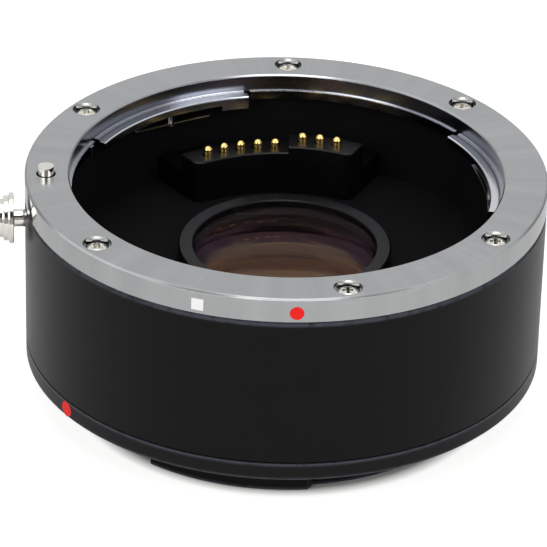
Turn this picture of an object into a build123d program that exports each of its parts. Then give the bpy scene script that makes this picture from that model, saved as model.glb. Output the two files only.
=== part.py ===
from build123d import *
from math import asin, cos, degrees, radians, sin
import os

os.makedirs("parts", exist_ok=True)

# A camera teleconverter in millimetres. The origin is on the optical axis in the plane of
# the camera-side flange, +Z points towards the lens and -Y passes through the front index.
# A clock angle is counted in degrees from the front index towards +X.

quarter_turn = 90
half_turn = 180

# Shared clearances
thread_gap = 0.02
press_gap = 0.02
seat_gap = 0.05
slide_gap = 0.1
overrun = 1.0

# Overall sizes
register = 24.9
mount_radius = 32.5

body_radius = mount_radius

# Lens mount ring
mount_thickness = 3.05
mount_edge_chamfer = 0.25
mount_face_width = 5.5
throat_depth = 2.17
throat_ledge = 0.3
throat_edge_chamfer = 0.2
spigot_depth = 0.3
spigot_wall = 0.6
female_lug_reach = 1.6
female_lug_drop = 0.12
female_lug_thickness = 1.0
female_lug_chamfer = 0.15
female_lug_turns = ((-41.5, 8), (76, 123.5), (188.8, 242.4))
lug_relief_radius = 0.45
lug_pad_thickness = 0.7
lug_pad_turns = (188.8, 196.8)

mount_bottom = register - mount_thickness
throat_radius = mount_radius - mount_face_width
ledge_height = register - throat_depth
female_lug_top = ledge_height - female_lug_drop
female_lug_bottom = female_lug_top - female_lug_thickness
female_lug_radius = throat_radius - female_lug_reach
collar_radius = throat_radius - throat_ledge
spigot_radius = collar_radius + spigot_wall
spigot_bottom = mount_bottom - spigot_depth

# Screws of the lens mount
mount_screw_inset = 2.4
mount_screw_turns = (177.4, 129, 54.7, 11.7, -51.2, -124)
mount_screw_head = 1.45
mount_screw_height = 1.0
mount_screw_shank = 0.8
mount_screw_length = 5.2
mount_screw_pocket = 1.75
mount_screw_drop = 0.3

mount_screw_circle = mount_radius - mount_screw_inset
mount_screw_seat = register - mount_screw_drop - mount_screw_height

# Index marks
index_depth = 0.25
index_proud = 0.03
front_index_radius = 0.85
front_index_lift = 1.2
front_index_turn = 0
white_index_side = 1.5
white_index_lift = 1.2
white_index_turn = -21
rear_index_margin = 0.1
rear_index_turn = -56.8

# Stop that ends the turn of a fitted lens
stop_pin_radius = 0.4
stop_pin_length = 1.5
stop_pin_turn = 246

# Leaf springs under the lugs
leaf_thickness = 0.2
leaf_width = 1.3
leaf_collar_gap = 0.2
leaf_sag = 0.8
leaf_end_sag = 0.85
leaf_half_turn = 13
leaf_centre_turn = 28
leaf_rivet_turn = -1.1
leaf_rivet_radius = 0.35
leaf_rivet_head = 0.6
leaf_rivet_head_height = 0.25
leaf_rivet_depth = 0.6

leaf_outer_radius = collar_radius - leaf_collar_gap
leaf_inner_radius = leaf_outer_radius - leaf_width
leaf_middle_radius = (leaf_inner_radius + leaf_outer_radius) / 2
leaf_half_length = leaf_middle_radius * sin(radians(leaf_half_turn))
leaf_turns = [stop - leaf_centre_turn for start, stop in female_lug_turns]

# Camera mount
flange_thickness = 2.2
flange_edge_chamfer = 0.15
groove_width = 0.3
groove_depth = 0.5
tube_wall = 2.1
tube_lug_gap = 0.3
tube_nose = 0.45
tube_edge_chamfer = 0.3
male_lug_throat_gap = 0.2
male_lug_thickness = 1.85
male_lug_drop = 3.3
male_lug_chamfer = 0.25
male_lug_turns = ((-39, 4.5), (78.5, 123.5), (193.5, 241.5))
male_lug_ramp_turn = 2.7
camera_hole_radius = 1.3
camera_hole_depth = 1.7
camera_hole_turn = -90

tube_radius = female_lug_radius - tube_lug_gap
male_lug_radius = throat_radius - male_lug_throat_gap
male_lug_top = -male_lug_drop
male_lug_bottom = male_lug_top - male_lug_thickness
tube_length = male_lug_drop + male_lug_thickness + tube_nose
rear_index_height = flange_thickness / 2
rear_index_radius = rear_index_height - rear_index_margin
neck_top = flange_thickness + groove_width
neck_radius = body_radius - groove_depth
tube_bore = tube_radius - tube_wall

# Barrel sleeve
sleeve_wall = 1.15
sleeve_top_gap = 0.15
sleeve_edge_chamfer = 0.45

sleeve_bore = body_radius - sleeve_wall
sleeve_top = mount_bottom - sleeve_top_gap

# Inner chassis
floor_drop = 13.0
floor_thickness = 2.0

chassis_radius = sleeve_bore - seat_gap
chassis_bore = spigot_radius + seat_gap
floor_top = register - floor_drop
floor_bottom = floor_top - floor_thickness

# Screws of the camera mount
rear_screw_turns = (45, 135, 225, 315)
rear_screw_head = 1.45
rear_screw_height = 0.8
rear_screw_shank = 0.75
rear_screw_length = 6.0
rear_screw_pocket = 1.6
rear_screw_drop = 0.15

rear_screw_circle = (chassis_radius + chassis_bore) / 2
rear_screw_seat = rear_screw_height + rear_screw_drop

# Cross recess shared by all the screws, as shares of the head's radius and height
cross_span_share = 1.15
cross_slot_share = 0.34
cross_depth_share = 0.62
head_rim_share = 0.42

# Lens lock and its release
lock_inset = 2.65
lock_turn = -88.2
lock_pin_radius = 1.0
lock_pin_proud = 1.1
lock_pin_floor = 0.27
lock_pin_chamfer = 0.15
lock_hole_gap = 0.225
release_travel = 1.5
carriage_pin_wall = 0.25
carriage_sleeve_gap = 0.35
carriage_half_width = 2.2
carriage_below_knob = 1.5
carriage_top_gap = 0.2
carriage_corner = 0.3
carriage_tail_radius = 0.45
carriage_tail_length = 2.5
lock_spring_radius = 0.95
lock_spring_wall = 0.25
knob_drop = 6.17
knob_stem_radius = 1.1
knob_stem_depth = 2.1
stem_slot_gap = 0.15
knob_standoff = 1.38
knob_disc_radii = (3.17, 2.815, 2.405)
knob_disc_widths = (0.62, 0.7, 0.62)
knob_edge_chamfer = 0.12

lock_circle = mount_radius - lock_inset
lock_hole_radius = lock_pin_radius + lock_hole_gap
knob_height = register - knob_drop
knob_start_radius = body_radius + knob_standoff
carriage_bottom = knob_height - carriage_below_knob
carriage_top = mount_bottom - carriage_top_gap
carriage_inner_radius = lock_circle - lock_pin_radius - carriage_pin_wall
carriage_outer_radius = sleeve_bore - carriage_sleeve_gap
carriage_thickness = carriage_outer_radius - carriage_inner_radius
carriage_middle_radius = (carriage_inner_radius + carriage_outer_radius) / 2
knob_stem_end = carriage_outer_radius - knob_stem_depth
pocket_floor = carriage_bottom - carriage_tail_length - release_travel - slide_gap - seat_gap
pocket_inner_radius = carriage_inner_radius - slide_gap
pocket_half_width = carriage_half_width + slide_gap
lock_pin_bottom = knob_height + knob_stem_radius + lock_pin_floor

# Lens cell
glass_inset = 11.0
cell_wall = 2.95
cell_neck_wall = 1.3
cell_neck_drop = 11.13
cell_flange_reach = 3.5
cell_flange_thickness = 1.6
cell_bottom_lip = 1.2
cell_lip_reach = 1.1
cell_screw_turns = (30, 150, 270)
cell_screw_head = 1.0
cell_screw_height = 0.6
cell_screw_shank = 0.6
cell_screw_length = 3.2

glass_radius = tube_bore - glass_inset
cell_bore = glass_radius + seat_gap
cell_radius = cell_bore + cell_wall
cell_neck_radius = cell_bore + cell_neck_wall
cell_flange_radius = cell_radius + cell_flange_reach
cell_screw_circle = (cell_flange_radius + cell_radius) / 2
cell_screw_seat = floor_bottom - cell_flange_thickness
cell_neck_top = register - cell_neck_drop

# Glass. A curve share is a radius of curvature as a share of the glass's own radius, and it
# is positive where the surface bulges towards the lens.
front_glass_sink = 0.25
cement_gap = 0.02
front_glass_edge = 2.3
front_glass_top_share = 5.0
front_glass_bottom_share = 3.0
field_glass_edge = 3.0
field_glass_top_share = -10.0
field_glass_bottom_share = 5.0
field_pair_edge = 0.8
field_pair_bottom_share = -12.5
inner_glass_edge = 0.8
inner_glass_top_share = 12.5
inner_glass_bottom_share = -6.0
inner_pair_edge = 3.0
inner_pair_bottom_share = 7.5
rear_glass_edge = 0.9
rear_glass_top_share = 6.0
rear_glass_bottom_share = -8.0
front_spacer = 0.6
middle_spacer = 1.5
rear_spacer = 0.6
spacer_wall = 0.8

front_glass_height = cell_neck_top - front_glass_sink

# Ring that holds the front glass
retainer_lip = 0.5
retainer_height = 0.85
retainer_outer_chamfer = 0.2
retainer_inner_chamfer = 0.15

retainer_bore = glass_radius - retainer_lip
retainer_radius = cell_neck_radius + seat_gap
retainer_top = cell_neck_top + retainer_height

# Sprung contacts on the lens side
pin_inset = 2.4
pin_pitch = 2.28
raised_count = 3
raised_pin_start = 1.69
main_count = 5
main_pin_start = 1.86
pin_radius = 0.6
pin_travel = 0.8
pin_pressed_proud = 0.35
pin_collar_radius = 0.7
pin_collar_height = 0.45
pin_tip_round = 0.5
pin_spring_radius = 0.68
pin_spring_wall = 0.15

pin_circle = tube_bore - pin_inset

# Block that holds the sprung contacts
main_block_drop = 7.2
raised_block_drop = 6.25
main_block_overhang = 1.85
raised_block_overhang = 2.0
block_shoulder_setback = 1.7
block_shoulder_drop = 2.5
block_step_turn = 176.5
raised_block_end = 3.0
main_block_end = 2.8
block_roof = 1.2
block_front_wall = 0.3
block_back_wall = 3.5
block_corner = 1.3
block_edge_chamfer = 0.15

main_block_front = pin_circle - main_block_overhang
raised_block_front = pin_circle - raised_block_overhang
pin_proud = pin_travel + pin_pressed_proud
block_back = chassis_bore - seat_gap
board_recess_outer = block_back - block_back_wall
main_block_top = register - main_block_drop
raised_block_top = register - raised_block_drop
block_shoulder_radius = pin_circle + block_shoulder_setback
block_shoulder_top = main_block_top - block_shoulder_drop

# Circuit board under the block and the ribbon that leads to the camera side
board_thickness = 0.8
board_lift = 0.6
board_end_wall = 1.0
ribbon_width = 9.3
ribbon_turn = 184
ribbon_thickness = 0.2
ribbon_setback = 1.7
ribbon_gap = 0.2
ribbon_side_gap = 0.6

board_bottom = floor_top + board_lift
board_top = board_bottom + board_thickness
board_recess_inner = main_block_front + block_front_wall
board_inner = board_recess_inner + slide_gap
board_outer = board_recess_outer - slide_gap
ribbon_radius = pin_circle + ribbon_setback
ribbon_slot_inner = ribbon_radius - ribbon_gap
ribbon_slot_outer = ribbon_radius + ribbon_thickness + ribbon_gap

# Screws that hold the front block from below
block_screw_inset = 2.55
block_screw_head = 1.1
block_screw_height = 0.6
block_screw_shank = 0.6
block_screw_length = 4.6

block_screw_circle = (board_recess_outer + block_back) / 2

# Contact block on the camera side
rear_block_overhang = 1.7
rear_block_end = 3.6
rear_block_recess = 0.4
rear_block_height = 3.0
rear_block_step = 0.85
shelf_thickness = 1.0
shelf_reach = 3.0
pad_radial = 2.2
pad_width = 1.6
pad_depth = 0.3
pad_proud = 0.05
pad_corner = 0.3
rear_block_screw_inset = 1.44
rear_block_screw_head = 0.95
rear_block_screw_height = 0.55
rear_block_screw_shank = 0.5
rear_block_screw_bite = 1.0
rear_block_screw_drop = 0.1

rear_block_bottom = tube_length - rear_block_recess
rear_block_front = pin_circle - rear_block_overhang
shelf_bottom = rear_block_height - rear_block_bottom
rear_block_back = tube_bore - seat_gap
rear_block_screw_circle = (rear_block_front + rear_block_back) / 2

# Baffle around the cell on the camera side
baffle_thickness = 0.6
baffle_ledge = 1.4
baffle_seat = 0.3
baffle_cell_gap = 0.3

baffle_pocket_radius = tube_bore + baffle_ledge
baffle_radius = baffle_pocket_radius - slide_gap


def pin_arc(length):
    """The turn of a length along the contacts' circle."""
    return degrees(length / pin_circle)


# Places of the contacts and of what lies in line with them, from the step of the block
pin_places = [
    (block_step_turn - pin_arc(raised_pin_start + pin_pitch * place), raised_block_top)
    for place in reversed(range(raised_count))
]
pin_places += [
    (block_step_turn + pin_arc(main_pin_start + pin_pitch * place), main_block_top)
    for place in range(main_count)
]
pin_turns = [turn for turn, block_top in pin_places]
block_turns = (
    pin_turns[0] - pin_arc(raised_block_end),
    pin_turns[-1] + pin_arc(main_block_end),
)
board_recess_turns = (
    block_turns[0] + pin_arc(board_end_wall),
    block_turns[1] - pin_arc(board_end_wall),
)
board_turns = (
    board_recess_turns[0] + pin_arc(slide_gap),
    board_recess_turns[1] - pin_arc(slide_gap),
)
block_screw_turns = (
    block_turns[0] + pin_arc(block_screw_inset),
    block_turns[1] - pin_arc(block_screw_inset),
)
ribbon_half_turn = pin_arc(ribbon_width / 2)
ribbon_turns = (ribbon_turn - ribbon_half_turn, ribbon_turn + ribbon_half_turn)
ribbon_slot_turns = (
    ribbon_turns[0] - pin_arc(ribbon_side_gap),
    ribbon_turns[1] + pin_arc(ribbon_side_gap),
)
rear_block_turns = (
    pin_turns[0] - pin_arc(rear_block_end),
    pin_turns[-1] + pin_arc(rear_block_end),
)
rear_block_screw_turns = (
    rear_block_turns[0] + pin_arc(rear_block_screw_inset),
    rear_block_turns[1] - pin_arc(rear_block_screw_inset),
)


def clock(turn):
    """The angle from +X of a clock angle."""
    return turn - quarter_turn


def at(radius, turn):
    """The X and Y of a point at a radius and a clock angle."""
    return radius * cos(radians(clock(turn))), radius * sin(radians(clock(turn)))


def spoke(turn, radius, height):
    """A plane that faces outwards at a clock angle, with its Y upwards."""
    outward = (*at(1, turn), 0)
    sideways = (*at(1, turn + quarter_turn), 0)
    return Plane(origin=(*at(radius, turn), height), x_dir=sideways, z_dir=outward)


def sector(inner, outer, start, stop):
    """A flat part of a ring, between two clock angles."""
    with BuildSketch() as shape:
        with BuildLine():
            rim = CenterArc((0, 0), outer, clock(start), stop - start)
            root = CenterArc((0, 0), inner, clock(start), stop - start)
            Line(rim @ 0, root @ 0)
            Line(rim @ 1, root @ 1)
        make_face()
    return shape.sketch


def section(*points, turn=quarter_turn):
    """A half section of a turned piece, from points of radius and height."""
    backward = (*at(-1, turn + quarter_turn), 0)
    with BuildSketch(Plane(origin=(0, 0, 0), x_dir=(*at(1, turn), 0), z_dir=backward)) as half:
        with BuildLine():
            Polyline(*points, close=True)
        make_face()
    return half.sketch


def hoop(inner, outer, low, high):
    """A half section of a plain ring."""
    return section((inner, low), (outer, low), (outer, high), (inner, high))


def cross_screw(head, height, shank, length):
    """A domed screw with a cross recess, pointing down from the underside of its head."""
    rim = height * head_rim_share
    sink = height * cross_depth_share
    with BuildPart() as screw:
        with BuildSketch(Plane.XZ):
            with BuildLine():
                Polyline((0, height), (0, -length), (shank, -length), (shank, 0), (head, 0), (head, rim))
                TangentArc((0, height), (head, rim), tangent=(1, 0))
            make_face()
        revolve(axis=Axis.Z)
        with BuildSketch(Plane.XY.offset(height)):
            Rectangle(head * cross_span_share, head * cross_slot_share)
            Rectangle(head * cross_slot_share, head * cross_span_share)
        extrude(amount=-sink, mode=Mode.SUBTRACT)
    return screw.part


def cut_round(circle, turns, radius, low, high):
    """Round holes at clock angles, cut from the part in hand."""
    with BuildPart() as holes:
        with BuildSketch(Plane.XY.offset(low)):
            with Locations(*[at(circle, turn) for turn in turns]):
                Circle(radius)
        extrude(amount=high - low)
    return holes.part


def glass_height(curve_share, edge_height, radius):
    """The height of a glass surface at a radius from the axis."""
    curve = glass_radius * curve_share
    centre = edge_height - curve * cos(asin(glass_radius / curve))
    return centre + curve * cos(asin(radius / curve))


def glass_arc(curve_share, edge_height):
    """Three points of a glass surface: its centre, half way out, and its edge."""
    half_way = glass_radius / 2
    return (
        (0, glass_height(curve_share, edge_height, 0)),
        (half_way, glass_height(curve_share, edge_height, half_way)),
        (glass_radius, edge_height),
    )


def glass(top_edge, bottom_edge, top_share, bottom_share):
    """A round glass between two edge heights."""
    top = glass_arc(top_share, top_edge)
    bottom = glass_arc(bottom_share, bottom_edge)
    with BuildPart() as element:
        with BuildSketch(Plane.XZ):
            with BuildLine():
                ThreePointArc(*top)
                ThreePointArc(*bottom)
                Line(top[0], bottom[0])
                Line(top[-1], bottom[-1])
            make_face()
        revolve(axis=Axis.Z)
    return element


# Index marks, which are let into the rims they stand on
def index_mark(turn, height, rim_radius, radius=None, side=None):
    """A round or square mark whose face follows the rim."""
    with BuildPart() as mark:
        with BuildSketch(spoke(turn, rim_radius - index_depth - overrun, height)):
            if radius:
                Circle(radius)
            else:
                Rectangle(side, side)
        extrude(amount=index_depth + overrun + overrun)
        low = height - mount_thickness
        high = height + mount_thickness
        revolve(
            hoop(rim_radius - index_depth, rim_radius + index_proud, low, high),
            axis=Axis.Z,
            mode=Mode.INTERSECT,
        )
    return mark


front_red_index = index_mark(
    front_index_turn, mount_bottom + front_index_lift, mount_radius, radius=front_index_radius
)
front_white_index = index_mark(
    white_index_turn, mount_bottom + white_index_lift, mount_radius, side=white_index_side
)
rear_red_index = index_mark(
    rear_index_turn, rear_index_height, body_radius, radius=rear_index_radius
)

# Stop pin, half sunk in the wall of the throat below its ledge
with BuildPart() as rotation_stop_pin:
    with BuildSketch(Plane.XY.offset(ledge_height - stop_pin_length)):
        with Locations(at(collar_radius, stop_pin_turn)):
            Circle(stop_pin_radius)
    extrude(amount=stop_pin_length)

# Lens mount ring with its inward lugs
with BuildPart() as lens_mount_ring:
    revolve(
        section(
            (collar_radius, spigot_bottom),
            (spigot_radius, spigot_bottom),
            (spigot_radius, mount_bottom),
            (mount_radius, mount_bottom),
            (mount_radius, register - mount_edge_chamfer),
            (mount_radius - mount_edge_chamfer, register),
            (throat_radius + throat_edge_chamfer, register),
            (throat_radius, register - throat_edge_chamfer),
            (throat_radius, ledge_height),
            (collar_radius, ledge_height),
        ),
        axis=Axis.Z,
    )
    for start, stop in female_lug_turns:
        revolve(
            section(
                (collar_radius + spigot_wall / 2, female_lug_bottom),
                (female_lug_radius, female_lug_bottom),
                (female_lug_radius, female_lug_top - female_lug_chamfer),
                (female_lug_radius + female_lug_chamfer, female_lug_top),
                (collar_radius + spigot_wall / 2, female_lug_top),
                turn=start,
            ),
            axis=Axis.Z,
            revolution_arc=stop - start,
        )
    with BuildSketch(Plane.XY.offset(female_lug_bottom - lug_pad_thickness)):
        add(sector(female_lug_radius, collar_radius, *lug_pad_turns))
    extrude(amount=lug_pad_thickness)
    lug_ends = [turn for pair in female_lug_turns for turn in pair]
    add(
        cut_round(collar_radius, lug_ends, lug_relief_radius, spigot_bottom, ledge_height),
        mode=Mode.SUBTRACT,
    )
    add(
        cut_round(
            mount_screw_circle,
            mount_screw_turns,
            mount_screw_shank + seat_gap,
            mount_bottom - overrun,
            register,
        ),
        mode=Mode.SUBTRACT,
    )
    add(
        cut_round(
            mount_screw_circle,
            mount_screw_turns,
            mount_screw_pocket,
            mount_screw_seat,
            register + overrun,
        ),
        mode=Mode.SUBTRACT,
    )
    add(
        cut_round(
            lock_circle, [lock_turn], lock_hole_radius, mount_bottom - overrun, register + overrun
        ),
        mode=Mode.SUBTRACT,
    )
    leaf_rivet_turns = [turn + leaf_rivet_turn for turn in leaf_turns]
    add(
        cut_round(
            leaf_middle_radius,
            leaf_rivet_turns,
            leaf_rivet_radius + press_gap,
            female_lug_bottom - overrun,
            female_lug_bottom + leaf_rivet_depth + press_gap,
        ),
        mode=Mode.SUBTRACT,
    )
    add(
        cut_round(
            collar_radius,
            [stop_pin_turn],
            stop_pin_radius + press_gap,
            spigot_bottom - overrun,
            ledge_height,
        ),
        mode=Mode.SUBTRACT,
    )
    add(front_red_index.part, mode=Mode.SUBTRACT)
    add(front_white_index.part, mode=Mode.SUBTRACT)

mount_screw = cross_screw(
    mount_screw_head, mount_screw_height, mount_screw_shank, mount_screw_length
)
with BuildPart() as lens_mount_screws:
    for turn in mount_screw_turns:
        with Locations(Location((*at(mount_screw_circle, turn), mount_screw_seat), (0, 0, turn))):
            add(mount_screw)

# Bowed strips that press on the lugs of a fitted lens
with BuildPart() as bayonet_leaf_springs:
    for turn in leaf_turns:
        with BuildSketch(spoke(turn, leaf_outer_radius + overrun, female_lug_bottom)):
            with BuildLine():
                upper = ThreePointArc(
                    (leaf_half_length, 0),
                    (0, -leaf_sag),
                    (-leaf_half_length, -leaf_end_sag),
                )
                lower = ThreePointArc(
                    (leaf_half_length, -leaf_thickness),
                    (0, -leaf_sag - leaf_thickness),
                    (-leaf_half_length, -leaf_end_sag - leaf_thickness),
                )
                Line(upper @ 0, lower @ 0)
                Line(upper @ 1, lower @ 1)
            make_face()
        extrude(amount=-(leaf_outer_radius - leaf_inner_radius + overrun + overrun))
    revolve(
        hoop(leaf_inner_radius, leaf_outer_radius, mount_bottom - mount_thickness, mount_bottom),
        axis=Axis.Z,
        mode=Mode.INTERSECT,
    )
    add(
        cut_round(
            leaf_middle_radius,
            leaf_rivet_turns,
            leaf_rivet_radius + press_gap,
            mount_bottom - mount_thickness,
            mount_bottom,
        ),
        mode=Mode.SUBTRACT,
    )

# Shouldered rivets that guide the strips and hang from the lugs
leaf_underside = female_lug_bottom - leaf_sag - leaf_thickness - slide_gap
with BuildPart() as leaf_spring_rivets:
    for turn in leaf_rivet_turns:
        with BuildSketch(Plane.XY.offset(leaf_underside)):
            with Locations(at(leaf_middle_radius, turn)):
                Circle(leaf_rivet_radius)
        extrude(amount=female_lug_bottom + leaf_rivet_depth - leaf_underside)
        with BuildSketch(Plane.XY.offset(leaf_underside - leaf_rivet_head_height)):
            with Locations(at(leaf_middle_radius, turn)):
                Circle(leaf_rivet_head)
        extrude(amount=leaf_rivet_head_height)

# Black sleeve that forms the outside of the barrel, with the slot of the release
with BuildPart() as barrel_sleeve:
    revolve(
        section(
            (sleeve_bore, neck_top),
            (body_radius, neck_top),
            (body_radius, sleeve_top - sleeve_edge_chamfer),
            (body_radius - sleeve_edge_chamfer, sleeve_top),
            (sleeve_bore, sleeve_top),
        ),
        axis=Axis.Z,
    )
    with BuildSketch(spoke(lock_turn, sleeve_bore - overrun, knob_height - release_travel / 2)):
        SlotCenterToCenter(
            release_travel, (knob_stem_radius + stem_slot_gap) * 2, rotation=quarter_turn
        )
    extrude(amount=sleeve_wall + overrun * 2, mode=Mode.SUBTRACT)

# Chassis: an inner tube with a floor that carries the lens cell and the contacts
with BuildPart() as inner_chassis:
    revolve(
        section(
            (chassis_bore, neck_top),
            (chassis_radius, neck_top),
            (chassis_radius, mount_bottom),
            (chassis_bore, mount_bottom),
            (chassis_bore, floor_top),
            (cell_neck_radius + slide_gap, floor_top),
            (cell_neck_radius + slide_gap, floor_bottom),
            (chassis_bore, floor_bottom),
        ),
        axis=Axis.Z,
    )
    with BuildSketch(spoke(lock_turn, pocket_inner_radius, pocket_floor)):
        Rectangle(
            pocket_half_width * 2,
            mount_bottom + overrun - pocket_floor,
            align=(Align.CENTER, Align.MIN),
        )
    extrude(amount=chassis_radius + overrun - pocket_inner_radius, mode=Mode.SUBTRACT)
    add(
        cut_round(
            mount_screw_circle,
            mount_screw_turns,
            mount_screw_shank + thread_gap,
            mount_screw_seat - mount_screw_length - slide_gap,
            mount_bottom + overrun,
        ),
        mode=Mode.SUBTRACT,
    )
    add(
        cut_round(
            rear_screw_circle,
            rear_screw_turns,
            rear_screw_shank + thread_gap,
            neck_top - overrun,
            rear_screw_seat + rear_screw_length + slide_gap,
        ),
        mode=Mode.SUBTRACT,
    )
    add(
        cut_round(
            cell_screw_circle,
            cell_screw_turns,
            cell_screw_shank + thread_gap,
            floor_bottom - overrun,
            cell_screw_seat + cell_screw_length + slide_gap,
        ),
        mode=Mode.SUBTRACT,
    )
    add(
        cut_round(
            block_screw_circle,
            block_screw_turns,
            block_screw_shank + seat_gap,
            floor_bottom - overrun,
            floor_top + overrun,
        ),
        mode=Mode.SUBTRACT,
    )
    with BuildSketch(Plane.XY.offset(floor_bottom - overrun)):
        add(sector(ribbon_slot_inner, ribbon_slot_outer, *ribbon_slot_turns))
    extrude(amount=floor_thickness + overrun * 2, mode=Mode.SUBTRACT)

# Block of the sprung contacts, stepped in height and hollow below for its board
with BuildPart() as front_contact_block:
    with BuildSketch(Plane.XY.offset(floor_top)) as raised_outline:
        add(sector(raised_block_front, block_back, block_turns[0], block_step_turn))
        corner = (*at(raised_block_front, block_turns[0]), 0)
        fillet(raised_outline.vertices().sort_by_distance(corner)[0], block_corner)
    extrude(amount=raised_block_top - floor_top)
    with BuildSketch(Plane.XY.offset(floor_top)) as main_outline:
        add(sector(main_block_front, block_back, block_step_turn, block_turns[1]))
        corner = (*at(main_block_front, block_turns[1]), 0)
        fillet(main_outline.vertices().sort_by_distance(corner)[0], block_corner)
    extrude(amount=main_block_top - floor_top)
    for top in (raised_block_top, main_block_top):
        top_edges = front_contact_block.edges().filter_by(GeomType.CIRCLE)
        top_edges = top_edges.filter_by_position(Axis.Z, top - press_gap, top + press_gap)
        chamfer(top_edges.sort_by(SortBy.RADIUS)[1], block_edge_chamfer)
    revolve(
        hoop(block_shoulder_radius, chassis_bore, block_shoulder_top, raised_block_top + overrun),
        axis=Axis.Z,
        mode=Mode.SUBTRACT,
    )
    with BuildSketch(Plane.XY.offset(floor_top)):
        add(sector(board_recess_inner, board_recess_outer, *board_recess_turns))
    extrude(amount=board_top - floor_top, mode=Mode.SUBTRACT)
    for turn, block_top in pin_places:
        add(
            cut_round(
                pin_circle, [turn], pin_radius + seat_gap, board_top, block_top + overrun
            ),
            mode=Mode.SUBTRACT,
        )
        add(
            cut_round(
                pin_circle,
                [turn],
                pin_collar_radius + seat_gap,
                floor_top,
                block_top - block_roof,
            ),
            mode=Mode.SUBTRACT,
        )
    add(
        cut_round(
            block_screw_circle,
            block_screw_turns,
            block_screw_shank + thread_gap,
            floor_top - overrun,
            floor_bottom + block_screw_length + slide_gap,
        ),
        mode=Mode.SUBTRACT,
    )


def contact_pin(turn, block_top):
    """A sprung contact with a rounded tip and a collar under the block's roof."""
    collar_top = block_top - block_roof - press_gap
    with BuildPart() as pin:
        with BuildSketch(Plane.XY.offset(collar_top - pin_collar_height)):
            with Locations(at(pin_circle, turn)):
                Circle(pin_collar_radius)
        extrude(amount=pin_collar_height)
        with BuildSketch(Plane.XY.offset(collar_top)):
            with Locations(at(pin_circle, turn)):
                Circle(pin_radius)
        extrude(amount=block_top + pin_proud - collar_top)
        fillet(pin.faces().sort_by(Axis.Z)[-1].edges(), pin_tip_round)
    return pin


def contact_spring(turn, block_top):
    """The space that a contact's coil spring fills, as a thin tube."""
    collar_bottom = block_top - block_roof - press_gap - pin_collar_height
    with BuildPart() as spring:
        with BuildSketch(Plane.XY.offset(board_top)):
            with Locations(at(pin_circle, turn)):
                Circle(pin_spring_radius)
                Circle(pin_spring_radius - pin_spring_wall, mode=Mode.SUBTRACT)
        extrude(amount=collar_bottom - board_top)
    return spring


contact_pins = [contact_pin(turn, block_top) for turn, block_top in pin_places]
contact_springs = [contact_spring(turn, block_top) for turn, block_top in pin_places]

with BuildPart() as contact_board:
    with BuildSketch(Plane.XY.offset(board_bottom)):
        add(sector(board_inner, board_outer, *board_turns))
    extrude(amount=board_thickness)

with BuildPart() as flex_ribbon:
    with BuildSketch(Plane.XY.offset(shelf_bottom)):
        add(sector(ribbon_radius, ribbon_radius + ribbon_thickness, *ribbon_turns))
    extrude(amount=board_bottom - shelf_bottom)


def screws_from_below(circle, seats, head, height, shank, tip=None, length=None):
    """Screws that point up, each with the height of its head's seat."""
    with BuildPart() as screws:
        for turn, seat in seats:
            reach = length if length else tip - seat
            screw = cross_screw(head, height, shank, reach)
            with Locations(Location((*at(circle, turn), seat), (half_turn, 0, turn))):
                add(screw)
    return screws


front_block_screws = screws_from_below(
    block_screw_circle,
    [(turn, floor_bottom) for turn in block_screw_turns],
    block_screw_head,
    block_screw_height,
    block_screw_shank,
    length=block_screw_length,
)

# Glass and spacers, from the front glass down
glass_stack = (
    (front_glass_edge, front_glass_top_share, front_glass_bottom_share, front_spacer),
    (field_glass_edge, field_glass_top_share, field_glass_bottom_share, cement_gap),
    (field_pair_edge, field_glass_bottom_share, field_pair_bottom_share, middle_spacer),
    (inner_glass_edge, inner_glass_top_share, inner_glass_bottom_share, cement_gap),
    (inner_pair_edge, inner_glass_bottom_share, inner_pair_bottom_share, rear_spacer),
    (rear_glass_edge, rear_glass_top_share, rear_glass_bottom_share, 0),
)
lens_elements = []
lens_spacers = []
edge = front_glass_height
for place, (thickness, top_share, bottom_share, space) in enumerate(glass_stack):
    lens_elements.append(glass(edge, edge - thickness, top_share, bottom_share))
    edge -= thickness
    if space > cement_gap:
        next_share = glass_stack[place + 1][1]
        inner = glass_radius - spacer_wall
        high = min(edge, glass_height(bottom_share, edge, inner)) - press_gap
        low = max(edge - space, glass_height(next_share, edge - space, inner)) + press_gap
        with BuildPart() as lens_spacer:
            revolve(
                section(
                    (inner, low),
                    (glass_radius, edge - space + press_gap),
                    (glass_radius, edge - press_gap),
                    (inner, high),
                ),
                axis=Axis.Z,
            )
        lens_spacers.append(lens_spacer)
    edge -= space
stack_bottom = edge

# Cell that holds the glass, hung from the chassis floor by its flange
cell_bottom = stack_bottom - cell_bottom_lip
cell_lip_radius = glass_radius - cell_lip_reach
with BuildPart() as lens_cell:
    revolve(
        section(
            (cell_bore, cell_neck_top),
            (cell_neck_radius, cell_neck_top),
            (cell_neck_radius, floor_bottom),
            (cell_flange_radius, floor_bottom),
            (cell_flange_radius, cell_screw_seat),
            (cell_radius, cell_screw_seat),
            (cell_radius, cell_bottom),
            (cell_lip_radius, cell_bottom),
            (
                cell_lip_radius,
                glass_height(rear_glass_bottom_share, stack_bottom, cell_lip_radius) - press_gap,
            ),
            (cell_bore, stack_bottom - press_gap),
        ),
        axis=Axis.Z,
    )
    add(
        cut_round(
            cell_screw_circle,
            cell_screw_turns,
            cell_screw_shank + seat_gap,
            cell_screw_seat - overrun,
            floor_bottom + overrun,
        ),
        mode=Mode.SUBTRACT,
    )

lens_cell_screws = screws_from_below(
    cell_screw_circle,
    [(turn, cell_screw_seat) for turn in cell_screw_turns],
    cell_screw_head,
    cell_screw_height,
    cell_screw_shank,
    length=cell_screw_length,
)

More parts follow.
